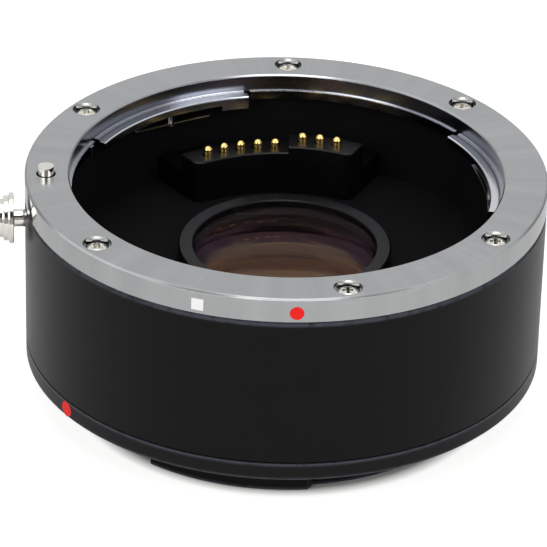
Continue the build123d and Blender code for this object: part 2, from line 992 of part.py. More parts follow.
with BuildPart() as front_retaining_ring:
    foot = glass_height(front_glass_top_share, front_glass_height, retainer_bore) + press_gap
    revolve(
        section(
            (retainer_bore, foot),
            (cell_bore - seat_gap, foot),
            (cell_bore - seat_gap, cell_neck_top),
            (retainer_radius, cell_neck_top),
            (retainer_radius, retainer_top - retainer_outer_chamfer),
            (retainer_radius - retainer_outer_chamfer, retainer_top),
            (retainer_bore + retainer_inner_chamfer, retainer_top),
            (retainer_bore, retainer_top - retainer_inner_chamfer),
        ),
        axis=Axis.Z,
    )

# Lens lock: a pin on a carriage that the knob pulls down against a spring
with BuildPart() as lock_pin:
    with BuildSketch(Plane.XY.offset(lock_pin_bottom)):
        with Locations(at(lock_circle, lock_turn)):
            Circle(lock_pin_radius)
    extrude(amount=register + lock_pin_proud - lock_pin_bottom)
    chamfer(lock_pin.faces().sort_by(Axis.Z)[-1].edges(), lock_pin_chamfer)

with BuildPart() as lock_carriage:
    with BuildSketch(spoke(lock_turn, carriage_inner_radius, carriage_bottom)):
        Rectangle(
            carriage_half_width * 2,
            carriage_top - carriage_bottom,
            align=(Align.CENTER, Align.MIN),
        )
    extrude(amount=carriage_thickness)
    chamfer(lock_carriage.edges().filter_by(Axis.Z), carriage_corner)
    with BuildSketch(Plane.XY.offset(carriage_bottom - carriage_tail_length)):
        with Locations(at(carriage_middle_radius, lock_turn)):
            Circle(carriage_tail_radius)
    extrude(amount=carriage_tail_length)
    add(
        cut_round(
            lock_circle,
            [lock_turn],
            lock_pin_radius + press_gap,
            lock_pin_bottom - press_gap,
            carriage_top + overrun,
        ),
        mode=Mode.SUBTRACT,
    )
    with BuildSketch(spoke(lock_turn, knob_stem_end - press_gap, knob_height)):
        Circle(knob_stem_radius + press_gap)
    extrude(amount=knob_stem_depth + overrun, mode=Mode.SUBTRACT)

with BuildPart() as release_knob:
    outline = [
        (knob_stem_end, 0),
        (knob_stem_end, knob_stem_radius),
        (knob_start_radius, knob_stem_radius),
    ]
    disc_start = knob_start_radius
    for radius, width in zip(knob_disc_radii, knob_disc_widths):
        disc_end = disc_start + width
        outline += [
            (disc_start, radius - knob_edge_chamfer),
            (disc_start + knob_edge_chamfer, radius),
            (disc_end - knob_edge_chamfer, radius),
            (disc_end, radius - knob_edge_chamfer),
        ]
        disc_start = disc_end
    outline.append((disc_end, 0))
    outward = (*at(1, lock_turn), 0)
    sideways = (*at(1, lock_turn + quarter_turn), 0)
    with BuildSketch(Plane(origin=(0, 0, knob_height), x_dir=outward, z_dir=sideways)):
        with BuildLine():
            Polyline(*outline, close=True)
        make_face()
    revolve(axis=Axis((0, 0, knob_height), outward))

with BuildPart() as lock_spring:
    with BuildSketch(Plane.XY.offset(pocket_floor)):
        with Locations(at(carriage_middle_radius, lock_turn)):
            Circle(lock_spring_radius)
            Circle(lock_spring_radius - lock_spring_wall, mode=Mode.SUBTRACT)
    extrude(amount=carriage_bottom - pocket_floor)

# Contact pads and their block on the camera side
rear_pad_places = [
    (turn, -rear_block_bottom + (rear_block_step if turn < block_step_turn else 0))
    for turn in pin_turns
]
with BuildPart() as rear_contact_pads:
    for turn, underside in rear_pad_places:
        with BuildSketch(Plane.XY.offset(underside - pad_proud)):
            with Locations(Location((*at(pin_circle, turn), 0), (0, 0, turn))):
                RectangleRounded(pad_width, pad_radial, pad_corner)
        extrude(amount=pad_depth)

rear_block_pocket = rear_block_screw_height + rear_block_screw_drop
rear_block_screw_seats = [
    (rear_block_screw_turns[0], -rear_block_bottom + rear_block_step + rear_block_pocket),
    (rear_block_screw_turns[1], -rear_block_bottom + rear_block_pocket),
]
with BuildPart() as rear_contact_block:
    with BuildSketch(Plane.XY.offset(-rear_block_bottom)):
        add(sector(rear_block_front, rear_block_back, *rear_block_turns))
    extrude(amount=rear_block_height)
    with BuildSketch(Plane.XY.offset(-rear_block_bottom)):
        add(
            sector(
                rear_block_front - overrun,
                rear_block_back + overrun,
                rear_block_turns[0] - pin_arc(overrun),
                block_step_turn,
            )
        )
    extrude(amount=rear_block_step, mode=Mode.SUBTRACT)
    add(rear_contact_pads.part, mode=Mode.SUBTRACT)
    for turn, seat in rear_block_screw_seats:
        add(
            cut_round(
                rear_block_screw_circle,
                [turn],
                rear_block_screw_head + seat_gap,
                -rear_block_bottom - overrun,
                seat,
            ),
            mode=Mode.SUBTRACT,
        )
        add(
            cut_round(
                rear_block_screw_circle,
                [turn],
                rear_block_screw_shank + thread_gap,
                -rear_block_bottom - overrun,
                shelf_bottom + overrun,
            ),
            mode=Mode.SUBTRACT,
        )

rear_block_screws = screws_from_below(
    rear_block_screw_circle,
    rear_block_screw_seats,
    rear_block_screw_head,
    rear_block_screw_height,
    rear_block_screw_shank,
    tip=shelf_bottom + rear_block_screw_bite,
)

# Outline of the camera mount's tube and its outward lugs
with BuildSketch() as lug_outline:
    Circle(tube_radius)
    for start, stop in male_lug_turns:
        add(sector(tube_bore, male_lug_radius, start, stop + male_lug_ramp_turn))
    for start, stop in male_lug_turns:
        ramp = (
            at(male_lug_radius, stop),
            at(tube_radius, stop + male_lug_ramp_turn),
            at(male_lug_radius + overrun, stop + male_lug_ramp_turn + male_lug_ramp_turn),
            at(male_lug_radius + overrun, stop),
        )
        Polygon(*ramp, align=None, mode=Mode.SUBTRACT)

# Camera mount: flange, neck that carries the sleeve, tube, lugs and inner shelf
with BuildPart() as rear_bayonet_mount:
    revolve(
        section(
            (tube_bore, -tube_length),
            (tube_radius - tube_edge_chamfer, -tube_length),
            (tube_radius, -tube_length + tube_edge_chamfer),
            (tube_radius, male_lug_bottom),
            (male_lug_radius - male_lug_chamfer, male_lug_bottom),
            (male_lug_radius, male_lug_bottom + male_lug_chamfer),
            (male_lug_radius, male_lug_top),
            (tube_radius, male_lug_top),
            (tube_radius, 0),
            (body_radius - flange_edge_chamfer, 0),
            (body_radius, flange_edge_chamfer),
            (body_radius, flange_thickness),
            (neck_radius, flange_thickness),
            (neck_radius, neck_top),
            (baffle_pocket_radius, neck_top),
            (baffle_pocket_radius, baffle_seat),
            (tube_bore, baffle_seat),
        ),
        axis=Axis.Z,
    )
    with BuildSketch(Plane.XY.offset(male_lug_bottom)):
        Circle(male_lug_radius + overrun)
        add(lug_outline.sketch, mode=Mode.SUBTRACT)
    extrude(amount=male_lug_thickness, mode=Mode.SUBTRACT)
    with BuildSketch(Plane.XY.offset(shelf_bottom)):
        add(sector(tube_bore - shelf_reach, tube_bore + tube_wall / 2, *rear_block_turns))
    extrude(amount=shelf_thickness)
    with BuildSketch(Plane.XY.offset(shelf_bottom)):
        add(sector(ribbon_slot_inner, ribbon_slot_outer, *ribbon_slot_turns))
    extrude(amount=shelf_thickness, mode=Mode.SUBTRACT)
    add(
        cut_round(
            rear_block_screw_circle,
            rear_block_screw_turns,
            rear_block_screw_shank + thread_gap,
            shelf_bottom,
            shelf_bottom + rear_block_screw_bite + press_gap,
        ),
        mode=Mode.SUBTRACT,
    )
    add(
        cut_round(
            rear_screw_circle, rear_screw_turns, rear_screw_pocket, -overrun, rear_screw_seat
        ),
        mode=Mode.SUBTRACT,
    )
    add(
        cut_round(
            rear_screw_circle,
            rear_screw_turns,
            rear_screw_shank + seat_gap,
            -overrun,
            neck_top + overrun,
        ),
        mode=Mode.SUBTRACT,
    )
    add(
        cut_round(
            lock_circle, [camera_hole_turn], camera_hole_radius, -overrun, camera_hole_depth
        ),
        mode=Mode.SUBTRACT,
    )
    add(rear_red_index.part, mode=Mode.SUBTRACT)

rear_mount_screws = screws_from_below(
    rear_screw_circle,
    [(turn, rear_screw_seat) for turn in rear_screw_turns],
    rear_screw_head,
    rear_screw_height,
    rear_screw_shank,
    length=rear_screw_length,
)

with BuildPart() as rear_light_baffle:
    revolve(
        hoop(
            cell_radius + baffle_cell_gap, baffle_radius, baffle_seat, baffle_seat + baffle_thickness
        ),
        axis=Axis.Z,
    )
    with BuildSketch(Plane.XY.offset(baffle_seat)):
        add(sector(ribbon_slot_inner, baffle_radius + overrun, *ribbon_slot_turns))
    extrude(amount=baffle_thickness, mode=Mode.SUBTRACT)

pieces = {
    "lens_mount_ring": lens_mount_ring,
    "lens_mount_screws": lens_mount_screws,
    "front_red_index": front_red_index,
    "front_white_index": front_white_index,
    "rotation_stop_pin": rotation_stop_pin,
    "bayonet_leaf_springs": bayonet_leaf_springs,
    "leaf_spring_rivets": leaf_spring_rivets,
    "barrel_sleeve": barrel_sleeve,
    "inner_chassis": inner_chassis,
    "front_contact_block": front_contact_block,
    "contact_board": contact_board,
    "flex_ribbon": flex_ribbon,
    "front_block_screws": front_block_screws,
    "lens_cell": lens_cell,
    "lens_cell_screws": lens_cell_screws,
    "front_retaining_ring": front_retaining_ring,
    "lock_pin": lock_pin,
    "lock_carriage": lock_carriage,
    "release_knob": release_knob,
    "lock_spring": lock_spring,
    "rear_bayonet_mount": rear_bayonet_mount,
    "rear_mount_screws": rear_mount_screws,
    "rear_contact_block": rear_contact_block,
    "rear_contact_pads": rear_contact_pads,
    "rear_block_screws": rear_block_screws,
    "rear_red_index": rear_red_index,
    "rear_light_baffle": rear_light_baffle,
}
for place, pin in enumerate(contact_pins, start=1):
    pieces[f"contact_pin_{place}"] = pin
for place, spring in enumerate(contact_springs, start=1):
    pieces[f"contact_spring_{place}"] = spring
for place, element in enumerate(lens_elements, start=1):
    pieces[f"lens_element_{place}"] = element
for place, spacer in enumerate(lens_spacers, start=1):
    pieces[f"lens_spacer_{place}"] = spacer

for name, piece in pieces.items():
    piece.part.label = name
    export_step(piece.part, f"parts/{name}.step")
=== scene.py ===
import math

import bmesh
import bpy
from mathutils import Matrix, Vector


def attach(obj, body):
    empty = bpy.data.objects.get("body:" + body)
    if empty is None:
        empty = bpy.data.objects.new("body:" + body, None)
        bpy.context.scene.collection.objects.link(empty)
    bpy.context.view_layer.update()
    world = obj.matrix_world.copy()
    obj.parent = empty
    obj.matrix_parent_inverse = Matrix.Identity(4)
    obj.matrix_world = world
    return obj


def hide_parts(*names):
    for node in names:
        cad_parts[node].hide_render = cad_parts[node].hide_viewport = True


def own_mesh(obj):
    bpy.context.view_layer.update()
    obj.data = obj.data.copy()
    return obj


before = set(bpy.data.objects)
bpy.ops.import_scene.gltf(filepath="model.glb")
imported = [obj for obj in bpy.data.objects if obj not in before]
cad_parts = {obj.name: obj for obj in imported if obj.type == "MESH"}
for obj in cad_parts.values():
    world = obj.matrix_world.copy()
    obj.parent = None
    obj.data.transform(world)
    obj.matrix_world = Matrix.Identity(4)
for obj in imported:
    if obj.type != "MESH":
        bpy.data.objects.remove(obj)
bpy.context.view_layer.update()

# A camera teleconverter. Lengths are written in millimetres and made metres by MM. A clock angle
# is counted in degrees from the front index towards +X, as in the CAD source.
MM = 0.001
HALF_TURN = math.pi
FULL_TURN = 2 * math.pi

# Sizes that pieces here share with the CAD solids
REGISTER = 24.9
BODY_RADIUS = 32.5
THROAT_RADIUS = 27.0
THROAT_COLLAR_RADIUS = 26.7
LEDGE_HEIGHT = 22.73
LUG_TOP = 22.61
SLEEVE_TOP = 21.7
SLEEVE_CHAMFER = 0.45
FLANGE_THICKNESS = 2.2
TUBE_RADIUS = 25.1
TUBE_BOTTOM = -5.6
MALE_LUG_RADIUS = 26.8
MALE_LUG_BOTTOM = -5.15
CEMENT_GAP = 0.02

HOUSING = "housing"
LENS_RELEASE = "lens_release"


def at(radius, turn, height=0.0):
    """A point at a radius, clock angle and height, in millimetres."""
    angle = math.radians(turn - 90)
    return Vector((radius * math.cos(angle), radius * math.sin(angle), height))


# Finishes


def put(tree, kind, sockets=None, out=0, **settings):
    """Adds a node, fills its sockets with values or links, and returns one of its outputs."""
    node = tree.nodes.new(kind)
    for name, value in settings.items():
        setattr(node, name, value)
    for socket, value in (sockets or {}).items():
        if isinstance(value, bpy.types.NodeSocket):
            tree.links.new(value, node.inputs[socket])
        else:
            node.inputs[socket].default_value = value
    return node.outputs[out]


def calc(tree, operation, *values):
    """The result of a math node."""
    return put(tree, "ShaderNodeMath", dict(enumerate(values)), operation=operation)


def spread(tree, value, low, high):
    """A value from 0 to 1 spread over another range."""
    sockets = {"Value": value, "To Min": low, "To Max": high}
    return put(tree, "ShaderNodeMapRange", sockets)


def blend_colours(tree, mask, first, second):
    """A colour between two, by a mask. The first may be a link."""
    mask_socket, first_socket, second_socket, colour_out = 0, 6, 7, 2
    if not isinstance(first, bpy.types.NodeSocket):
        first = (*first, 1)
    sockets = {mask_socket: mask, first_socket: first, second_socket: (*second, 1)}
    return put(tree, "ShaderNodeMix", sockets, out=colour_out, data_type="RGBA")


def sharpened(tree, value, low, high):
    """The part of a value between two levels, spread from 0 to 1."""
    return put(tree, "ShaderNodeMapRange", {"Value": value, "From Min": low, "From Max": high})


def flattened(tree, place):
    """A place without its height."""
    return put(tree, "ShaderNodeVectorMath", {0: place, 1: (1, 1, 0)}, operation="MULTIPLY")


def distance_of(tree, place):
    """The distance of a place from the origin."""
    return put(tree, "ShaderNodeVectorMath", {0: place}, out="Value", operation="LENGTH")


def axis_distance(tree, place):
    """The distance of a place from the optical axis."""
    return distance_of(tree, flattened(tree, place))


def level_of(tree, place):
    """The height of a place."""
    return put(tree, "ShaderNodeSeparateXYZ", {0: place}, out="Z")


def rising(tree, value, zone):
    """0 below a zone and 1 above it. The zone's two ends are in millimetres."""
    start, stop = zone
    sockets = {"Value": value, "From Min": start * MM, "From Max": stop * MM}
    return put(tree, "ShaderNodeMapRange", sockets)


def falling(tree, value, zone):
    """1 below a zone and 0 above it."""
    return calc(tree, "SUBTRACT", 1.0, rising(tree, value, zone))


def shader_group(name, inputs, output):
    """An effect that several finishes share. Returns its tree and its input sockets."""
    tree = bpy.data.node_groups.new(name, "ShaderNodeTree")
    for label, kind in inputs:
        tree.interface.new_socket(label, in_out="INPUT", socket_type=kind)
    tree.interface.new_socket(output, in_out="OUTPUT", socket_type="NodeSocketFloat")
    return tree, tree.nodes.new("NodeGroupInput").outputs


def close_group(tree, value):
    """Sends a value or a geometry out of a group."""
    ending = tree.nodes.new("NodeGroupOutput")
    tree.links.new(value, ending.inputs[0])


def make_turned_lines():
    """Fine lines that a lathe leaves, round the optical axis."""
    tree, given = shader_group(
        "turned_lines",
        (("Place", "NodeSocketVector"), ("Pitch", "NodeSocketFloat"), ("Drift", "NodeSocketFloat")),
        "Lines",
    )
    x = put(tree, "ShaderNodeSeparateXYZ", {0: given["Place"]}, out="X")
    across = put(
        tree,
        "ShaderNodeCombineXYZ",
        {
            "X": calc(tree, "DIVIDE", axis_distance(tree, given["Place"]), given["Pitch"]),
            "Y": calc(tree, "DIVIDE", level_of(tree, given["Place"]), given["Pitch"]),
            "Z": calc(tree, "MULTIPLY", x, given["Drift"]),
        },
    )
    lines = put(tree, "ShaderNodeTexNoise", {"Vector": across, "Scale": 1.0, "Detail": 2.0})
    close_group(tree, lines)
    return tree


def make_streaks():
    """Upright streaks round the optical axis."""
    tree, given = shader_group(
        "upright_streaks",
        (("Place", "NodeSocketVector"), ("Count", "NodeSocketFloat")),
        "Streaks",
    )
    flat = flattened(tree, given["Place"])
    outward = put(tree, "ShaderNodeVectorMath", {0: flat}, operation="NORMALIZE")
    sockets = {0: outward, "Scale": given["Count"]}
    counted = put(tree, "ShaderNodeVectorMath", sockets, operation="SCALE")
    streaks = put(
        tree,
        "ShaderNodeTexNoise",
        {"Vector": counted, "Scale": 1.0, "Detail": 4.0, "Roughness": 0.6},
    )
    close_group(tree, streaks)
    return tree


def divided(tree, place, size):
    """A place counted in steps of a size."""
    sockets = {0: place, "Scale": calc(tree, "DIVIDE", 1.0, size)}
    return put(tree, "ShaderNodeVectorMath", sockets, operation="SCALE")


def make_grain():
    """Fine even grain, as on blasted and moulded surfaces."""
    tree, given = shader_group(
        "fine_grain",
        (("Place", "NodeSocketVector"), ("Size", "NodeSocketFloat")),
        "Grain",
    )
    sized = divided(tree, given["Place"], given["Size"])
    grain = put(tree, "ShaderNodeTexNoise", {"Vector": sized, "Scale": 1.0, "Detail": 3.0})
    close_group(tree, grain)
    return tree


def make_smudges():
    """Broad faint patches where a surface was handled or wiped."""
    tree, given = shader_group(
        "smudges",
        (("Place", "NodeSocketVector"), ("Size", "NodeSocketFloat")),
        "Smudges",
    )
    sized = divided(tree, given["Place"], given["Size"])
    patches = put(
        tree,
        "ShaderNodeTexNoise",
        {"Vector": sized, "Scale": 1.0, "Detail": 4.0, "Distortion": 0.6},
    )
    close_group(tree, sharpened(tree, patches, 0.35, 0.7))
    return tree


def make_painted_edge_highlight():
    """A painted highlight, broken into patches, along a turned edge of one radius and height."""
    tree, given = shader_group(
        "edge_wear",
        (
            ("Place", "NodeSocketVector"),
            ("Radius", "NodeSocketFloat"),
            ("Height", "NodeSocketFloat"),
            ("Width", "NodeSocketFloat"),
        ),
        "Wear",
    )
    radius = axis_distance(tree, given["Place"])
    height = level_of(tree, given["Place"])
    aside = calc(tree, "ABSOLUTE", calc(tree, "SUBTRACT", radius, given["Radius"]))
    above = calc(tree, "ABSOLUTE", calc(tree, "SUBTRACT", height, given["Height"]))
    away = calc(tree, "DIVIDE", calc(tree, "MAXIMUM", aside, above), given["Width"])
    near = calc(tree, "MAXIMUM", calc(tree, "SUBTRACT", 1.0, away), 0.0)
    patches = put(tree, "ShaderNodeTexNoise", {"Vector": given["Place"], "Scale": 900.0, "Detail": 4.0})
    close_group(tree, calc(tree, "MULTIPLY", near, sharpened(tree, patches, 0.15, 0.5)))
    return tree


TURNED_LINES = make_turned_lines()
STREAKS = make_streaks()
GRAIN = make_grain()
SMUDGES = make_smudges()
PAINTED_EDGE_HIGHLIGHT = make_painted_edge_highlight()


def effect(tree, group, **sockets):
    """Places a shared effect in a finish and returns its value."""
    return put(tree, "ShaderNodeGroup", sockets, node_tree=group)


def finish_named(name, **constants):
    """A new material. Returns it, its tree, its shader and the piece's own coordinates."""
    material = bpy.data.materials.new(name)
    material.use_nodes = True
    tree = material.node_tree
    shader = tree.nodes["Principled BSDF"]
    for socket, value in constants.items():
        shader.inputs[socket.replace("_", " ")].default_value = value
    place = put(tree, "ShaderNodeTexCoord", out="Object")
    return material, tree, shader, place


def bump(tree, shader, height, depth, rounding=0.0):
    """Relief of a depth in millimetres, over edges that look rounded by a radius in millimetres."""
    sockets = {"Height": height, "Distance": depth * MM}
    if rounding:
        sockets["Normal"] = put(tree, "ShaderNodeBevel", {"Radius": rounding * MM})
    tree.links.new(put(tree, "ShaderNodeBump", sockets), shader.inputs["Normal"])


def feed(tree, shader, **values):
    """Links values to a shader's sockets."""
    for socket, value in values.items():
        tree.links.new(value, shader.inputs[socket.replace("_", " ")])


# Zones of the lens mount, by height or by distance from the axis, and the tones of its steel, with
# painted shade down the throat and on the collar above the lugs, a painted highlight on the lug tops
# and painted reflection streaks round the outside
FACE_ZONE = (REGISTER - 0.3, REGISTER)
THROAT_ZONE = (THROAT_RADIUS + 0.1, THROAT_RADIUS + 0.3)
LUG_ZONE = (LUG_TOP - 0.11, LUG_TOP - 0.06)
LEDGE_ZONE = (LEDGE_HEIGHT + 0.02, LEDGE_HEIGHT + 0.07)
COLLAR_ZONE = (THROAT_COLLAR_RADIUS - 0.4, THROAT_COLLAR_RADIUS - 0.2)
COLLAR_TOP_ZONE = (LUG_TOP - 0.01, LUG_TOP + 0.04)
OUTER_STEEL_WITH_PAINTED_STREAKS = ((0.37, 0.38, 0.39), (0.45, 0.462, 0.472))
THROAT_PAINTED_SHADE = (0.165, 0.18, 0.215)
LUG_TOP_PAINTED_HIGHLIGHT = (0.66, 0.67, 0.71)
COLLAR_PAINTED_SHADE = (0.07, 0.073, 0.085)
STEEL_ROUGHNESS = (0.08, 0.11)
SATIN_EXTRA = 0.1
SMUDGE_EXTRA = 0.03


def steel_finish():
    """Satin plated steel of the lens mount, turned on a lathe, with painted shade down in the throat
    and on the collar, a painted highlight on the lug tops and painted reflection streaks round the
    outside.
    """
    material, tree, shader, place = finish_named("mount_steel_satin", Metallic=1.0)
    lines = effect(tree, TURNED_LINES, Place=place, Pitch=0.07 * MM, Drift=60.0)
    # The outer steel's tone mixes the real turned lines with upright streaks round the axis, which are
    # painted reflection streaks
    streaks = effect(tree, STREAKS, Place=place, Count=9.0)
    smudges = effect(tree, SMUDGES, Place=place, Size=9 * MM)
    tone = calc(tree, "ADD", calc(tree, "MULTIPLY", lines, 0.35), calc(tree, "MULTIPLY", streaks, 0.65))
    colour = blend_colours(tree, sharpened(tree, tone, 0.3, 0.7), *OUTER_STEEL_WITH_PAINTED_STREAKS)
    height = level_of(tree, place)
    radius = axis_distance(tree, place)
    face = rising(tree, height, FACE_ZONE)
    throat = falling(tree, radius, THROAT_ZONE)
    # Painted shade: the throat wall below the face is darker steel
    painted_shade_wall = calc(tree, "MULTIPLY", throat, calc(tree, "SUBTRACT", 1.0, face))
    colour = blend_colours(tree, painted_shade_wall, colour, THROAT_PAINTED_SHADE)
    # Painted highlight: the lug tops are paler steel
    above_lugs = calc(tree, "MULTIPLY", throat, rising(tree, height, LUG_ZONE))
    painted_highlight_lug_tops = calc(tree, "MULTIPLY", above_lugs, falling(tree, height, LEDGE_ZONE))
    colour = blend_colours(tree, painted_highlight_lug_tops, colour, LUG_TOP_PAINTED_HIGHLIGHT)
    # Painted shade: the collar wall above the lugs is darker still
    outer_wall = calc(tree, "MULTIPLY", painted_shade_wall, rising(tree, radius, COLLAR_ZONE))
    painted_shade_collar = calc(tree, "MULTIPLY", outer_wall, falling(tree, height, COLLAR_TOP_ZONE))
    colour = blend_colours(tree, painted_shade_collar, colour, COLLAR_PAINTED_SHADE)
    feed(tree, shader, Base_Color=colour)
    worn = calc(tree, "MULTIPLY", smudges, SMUDGE_EXTRA)
    satin = calc(tree, "MULTIPLY", calc(tree, "MAXIMUM", face, throat), SATIN_EXTRA)
    rough = calc(tree, "ADD", spread(tree, lines, *STEEL_ROUGHNESS), satin)
    feed(tree, shader, Roughness=calc(tree, "ADD", rough, worn))
    bump(tree, shader, lines, 0.0005, 0.06)
    return material


def chrome_finish(name, light, dark, roughness):
    """Bright plating, wiped but not spotless."""
    material, tree, shader, place = finish_named(name, Metallic=1.0)
    smudges = effect(tree, SMUDGES, Place=place, Size=0.9 * MM)
    grain = effect(tree, GRAIN, Place=place, Size=0.05 * MM)
    feed(tree, shader, Base_Color=blend_colours(tree, smudges, light, dark))
    feed(tree, shader, Roughness=spread(tree, smudges, roughness, roughness + 0.07))
    bump(tree, shader, grain, 0.0006)
    return material


# Painted highlight lines along turned edges: their tone, and their width in millimetres
EDGE_HIGHLIGHT_TONE = (0.06, 0.065, 0.085)
EDGE_HIGHLIGHT_WIDTH = 0.45


def anodised_finish(name, deep, pale, roughness, edges=(), **constants):
    """Black anodised metal, with painted highlight lines along its turned edges."""
    material, tree, shader, place = finish_named(name, **constants)
    grain = effect(tree, GRAIN, Place=place, Size=0.06 * MM)
    smudges = effect(tree, SMUDGES, Place=place, Size=8 * MM)
    lines = effect(tree, TURNED_LINES, Place=place, Pitch=0.1 * MM, Drift=40.0)
    tone = calc(tree, "ADD", calc(tree, "MULTIPLY", grain, 0.6), calc(tree, "MULTIPLY", smudges, 0.4))
    colour = blend_colours(tree, tone, deep, pale)
    # Each listed edge gets a painted highlight line
    for radius, height in edges:
        sizes = {"Radius": radius * MM, "Height": height * MM, "Width": EDGE_HIGHLIGHT_WIDTH * MM}
        highlight_line = effect(tree, PAINTED_EDGE_HIGHLIGHT, Place=place, **sizes)
        colour = blend_colours(tree, highlight_line, colour, EDGE_HIGHLIGHT_TONE)
    feed(tree, shader, Base_Color=colour)
    feed(tree, shader, Roughness=spread(tree, tone, *roughness))
    relief = calc(tree, "ADD", grain, calc(tree, "MULTIPLY", lines, 0.6))
    bump(tree, shader, relief, 0.0015, 0.1)
    return material


def plastic_finish(name, deep, pale, roughness, grain_size, **constants):
    """Moulded black plastic."""
    material, tree, shader, place = finish_named(name, **constants)
    grain = effect(tree, GRAIN, Place=place, Size=grain_size * MM)
    smudges = effect(tree, SMUDGES, Place=place, Size=3 * MM)
    feed(tree, shader, Base_Color=blend_colours(tree, smudges, deep, pale))
    feed(tree, shader, Roughness=spread(tree, grain, *roughness))
    bump(tree, shader, grain, 0.004, 0.1)
    return material


def gold_finish():
    """Gold plating over turned brass."""
    material, tree, shader, place = finish_named("contact_gold_plated", Metallic=1.0)
    smudges = effect(tree, SMUDGES, Place=place, Size=0.5 * MM)
    grain = effect(tree, GRAIN, Place=place, Size=0.04 * MM)
    colour = blend_colours(tree, smudges, (0.86, 0.62, 0.22), (0.72, 0.48, 0.15))
    feed(tree, shader, Base_Color=colour)
    feed(tree, shader, Roughness=spread(tree, smudges, 0.14, 0.24))
    bump(tree, shader, grain, 0.0008)
    return material


def enamel_finish(name, colour, shade):
    """Enamel paint in a recess."""
    material, tree, shader, place = finish_named(name, Roughness=0.4, IOR=1.25)
    grain = effect(tree, GRAIN, Place=place, Size=0.12 * MM)
    feed(tree, shader, Base_Color=blend_colours(tree, grain, colour, shade))
    bump(tree, shader, grain, 0.006)
    return material


def board_finish():
    """Green solder mask with paler tracks below it."""
    material, tree, shader, place = finish_named("board_green_mask", Roughness=0.35)
    tracks = put(
        tree,
        "ShaderNodeTexWave",
        {"Vector": place, "Scale": 260.0, "Distortion": 3.0, "Detail": 1.0},
        out="Fac",
    )
    mask = sharpened(tree, tracks, 0.55, 0.65)
    colour = blend_colours(tree, mask, (0.008, 0.06, 0.025), (0.02, 0.12, 0.05))
    feed(tree, shader, Base_Color=colour)
    bump(tree, shader, mask, 0.02)
    return material


def ribbon_finish():
    """Amber film with copper tracks that run up the ribbon."""
    material, tree, shader, place = finish_named("ribbon_amber_film", Roughness=0.3)
    streaks = effect(tree, STREAKS, Place=place, Count=90.0)
    mask = sharpened(tree, streaks, 0.47, 0.52)
    feed(tree, shader, Base_Color=blend_colours(tree, mask, (0.3, 0.1, 0.012), (0.5, 0.22, 0.05)))
    bump(tree, shader, mask, 0.01)
    return material


GLASS_TINT = (1.0, 0.98, 0.95)
DUSTY_TINT = tuple(0.97 * part for part in GLASS_TINT)


def glass_finish(name, film, film_index):
    """Coated optical glass, with a trace of dust on its surface."""
    material, tree, shader, place = finish_named(
        name,
        Metallic=0.0,
        Transmission_Weight=1.0,
        IOR=1.52,
        Thin_Film_Thickness=film,
        Thin_Film_IOR=film_index,
    )
    smudges = effect(tree, SMUDGES, Place=place, Size=4 * MM)
    feed(tree, shader, Base_Color=blend_colours(tree, smudges, GLASS_TINT, DUSTY_TINT))
    feed(tree, shader, Roughness=spread(tree, smudges, 0.0, 0.015))
    return material


MOUNT_EDGE_INSET = 0.2
FINISHES = {
    "mount_steel": steel_finish(),
    "fastener_chrome": chrome_finish(
        "fastener_chrome_bright", (0.82, 0.8, 0.75), (0.68, 0.66, 0.62), 0.1
    ),
    "knob_chrome": chrome_finish("knob_chrome_bright", (0.84, 0.82, 0.77), (0.74, 0.72, 0.67), 0.05),
    "spring_steel": chrome_finish("spring_steel_strip", (0.4, 0.4, 0.39), (0.3, 0.3, 0.29), 0.18),
    "contact_gold": gold_finish(),
    "index_red": enamel_finish("index_red_enamel", (0.86, 0.02, 0.016), (0.76, 0.014, 0.012)),
    "index_white": enamel_finish("index_white_enamel", (0.93, 0.94, 0.95), (0.86, 0.87, 0.88)),
    "barrel_black": anodised_finish(
        "barrel_black_anodised",
        (0.0022, 0.0024, 0.0027),
        (0.0038, 0.004, 0.0043),
        (0.26, 0.36),
        edges=((BODY_RADIUS - SLEEVE_CHAMFER / 2, SLEEVE_TOP - SLEEVE_CHAMFER / 2),),
        IOR=1.22,
    ),
    "mount_black": anodised_finish(
        "mount_black_anodised",
        (0.0028, 0.003, 0.0034),
        (0.0048, 0.005, 0.0056),
        (0.26, 0.36),
        edges=(
            (BODY_RADIUS, FLANGE_THICKNESS),
            (BODY_RADIUS, 0.0),
            (MALE_LUG_RADIUS, MALE_LUG_BOTTOM + MOUNT_EDGE_INSET),
            (TUBE_RADIUS, TUBE_BOTTOM + MOUNT_EDGE_INSET),
        ),
        IOR=1.25,
    ),
    "chassis_black": anodised_finish(
        "chassis_black_matt",
        (0.0026, 0.0027, 0.0033),
        (0.0042, 0.0043, 0.0052),
        (0.6, 0.8),
        IOR=1.15,
    ),
    "cell_black": anodised_finish(
        "cell_black_anodised",
        (0.0012, 0.0014, 0.0022),
        (0.0026, 0.0029, 0.0042),
        (0.22, 0.32),
        IOR=1.25,
    ),
    "block_black": plastic_finish(
        "block_black_moulded",
        (0.0008, 0.0008, 0.001),
        (0.0016, 0.0016, 0.002),
        (0.3, 0.42),
        0.09,
        IOR=1.3,
    ),
    "board_green": board_finish(),
    "ribbon_amber": ribbon_finish(),
}
# Edges of the glasses, tinted purple-brown and paler on the inner glasses, so that seen through the
# glass they show a painted reflection: the coatings' purple, taupe and amber glow
GLASS_EDGES = (
    plastic_finish(
        "glass_edge_blackened", (0.018, 0.008, 0.012), (0.028, 0.012, 0.018), (0.6, 0.8), 0.05
    ),
    plastic_finish(
        "glass_edge_lacquered", (0.075, 0.05, 0.055), (0.11, 0.075, 0.075), (0.6, 0.8), 0.05
    ),
)

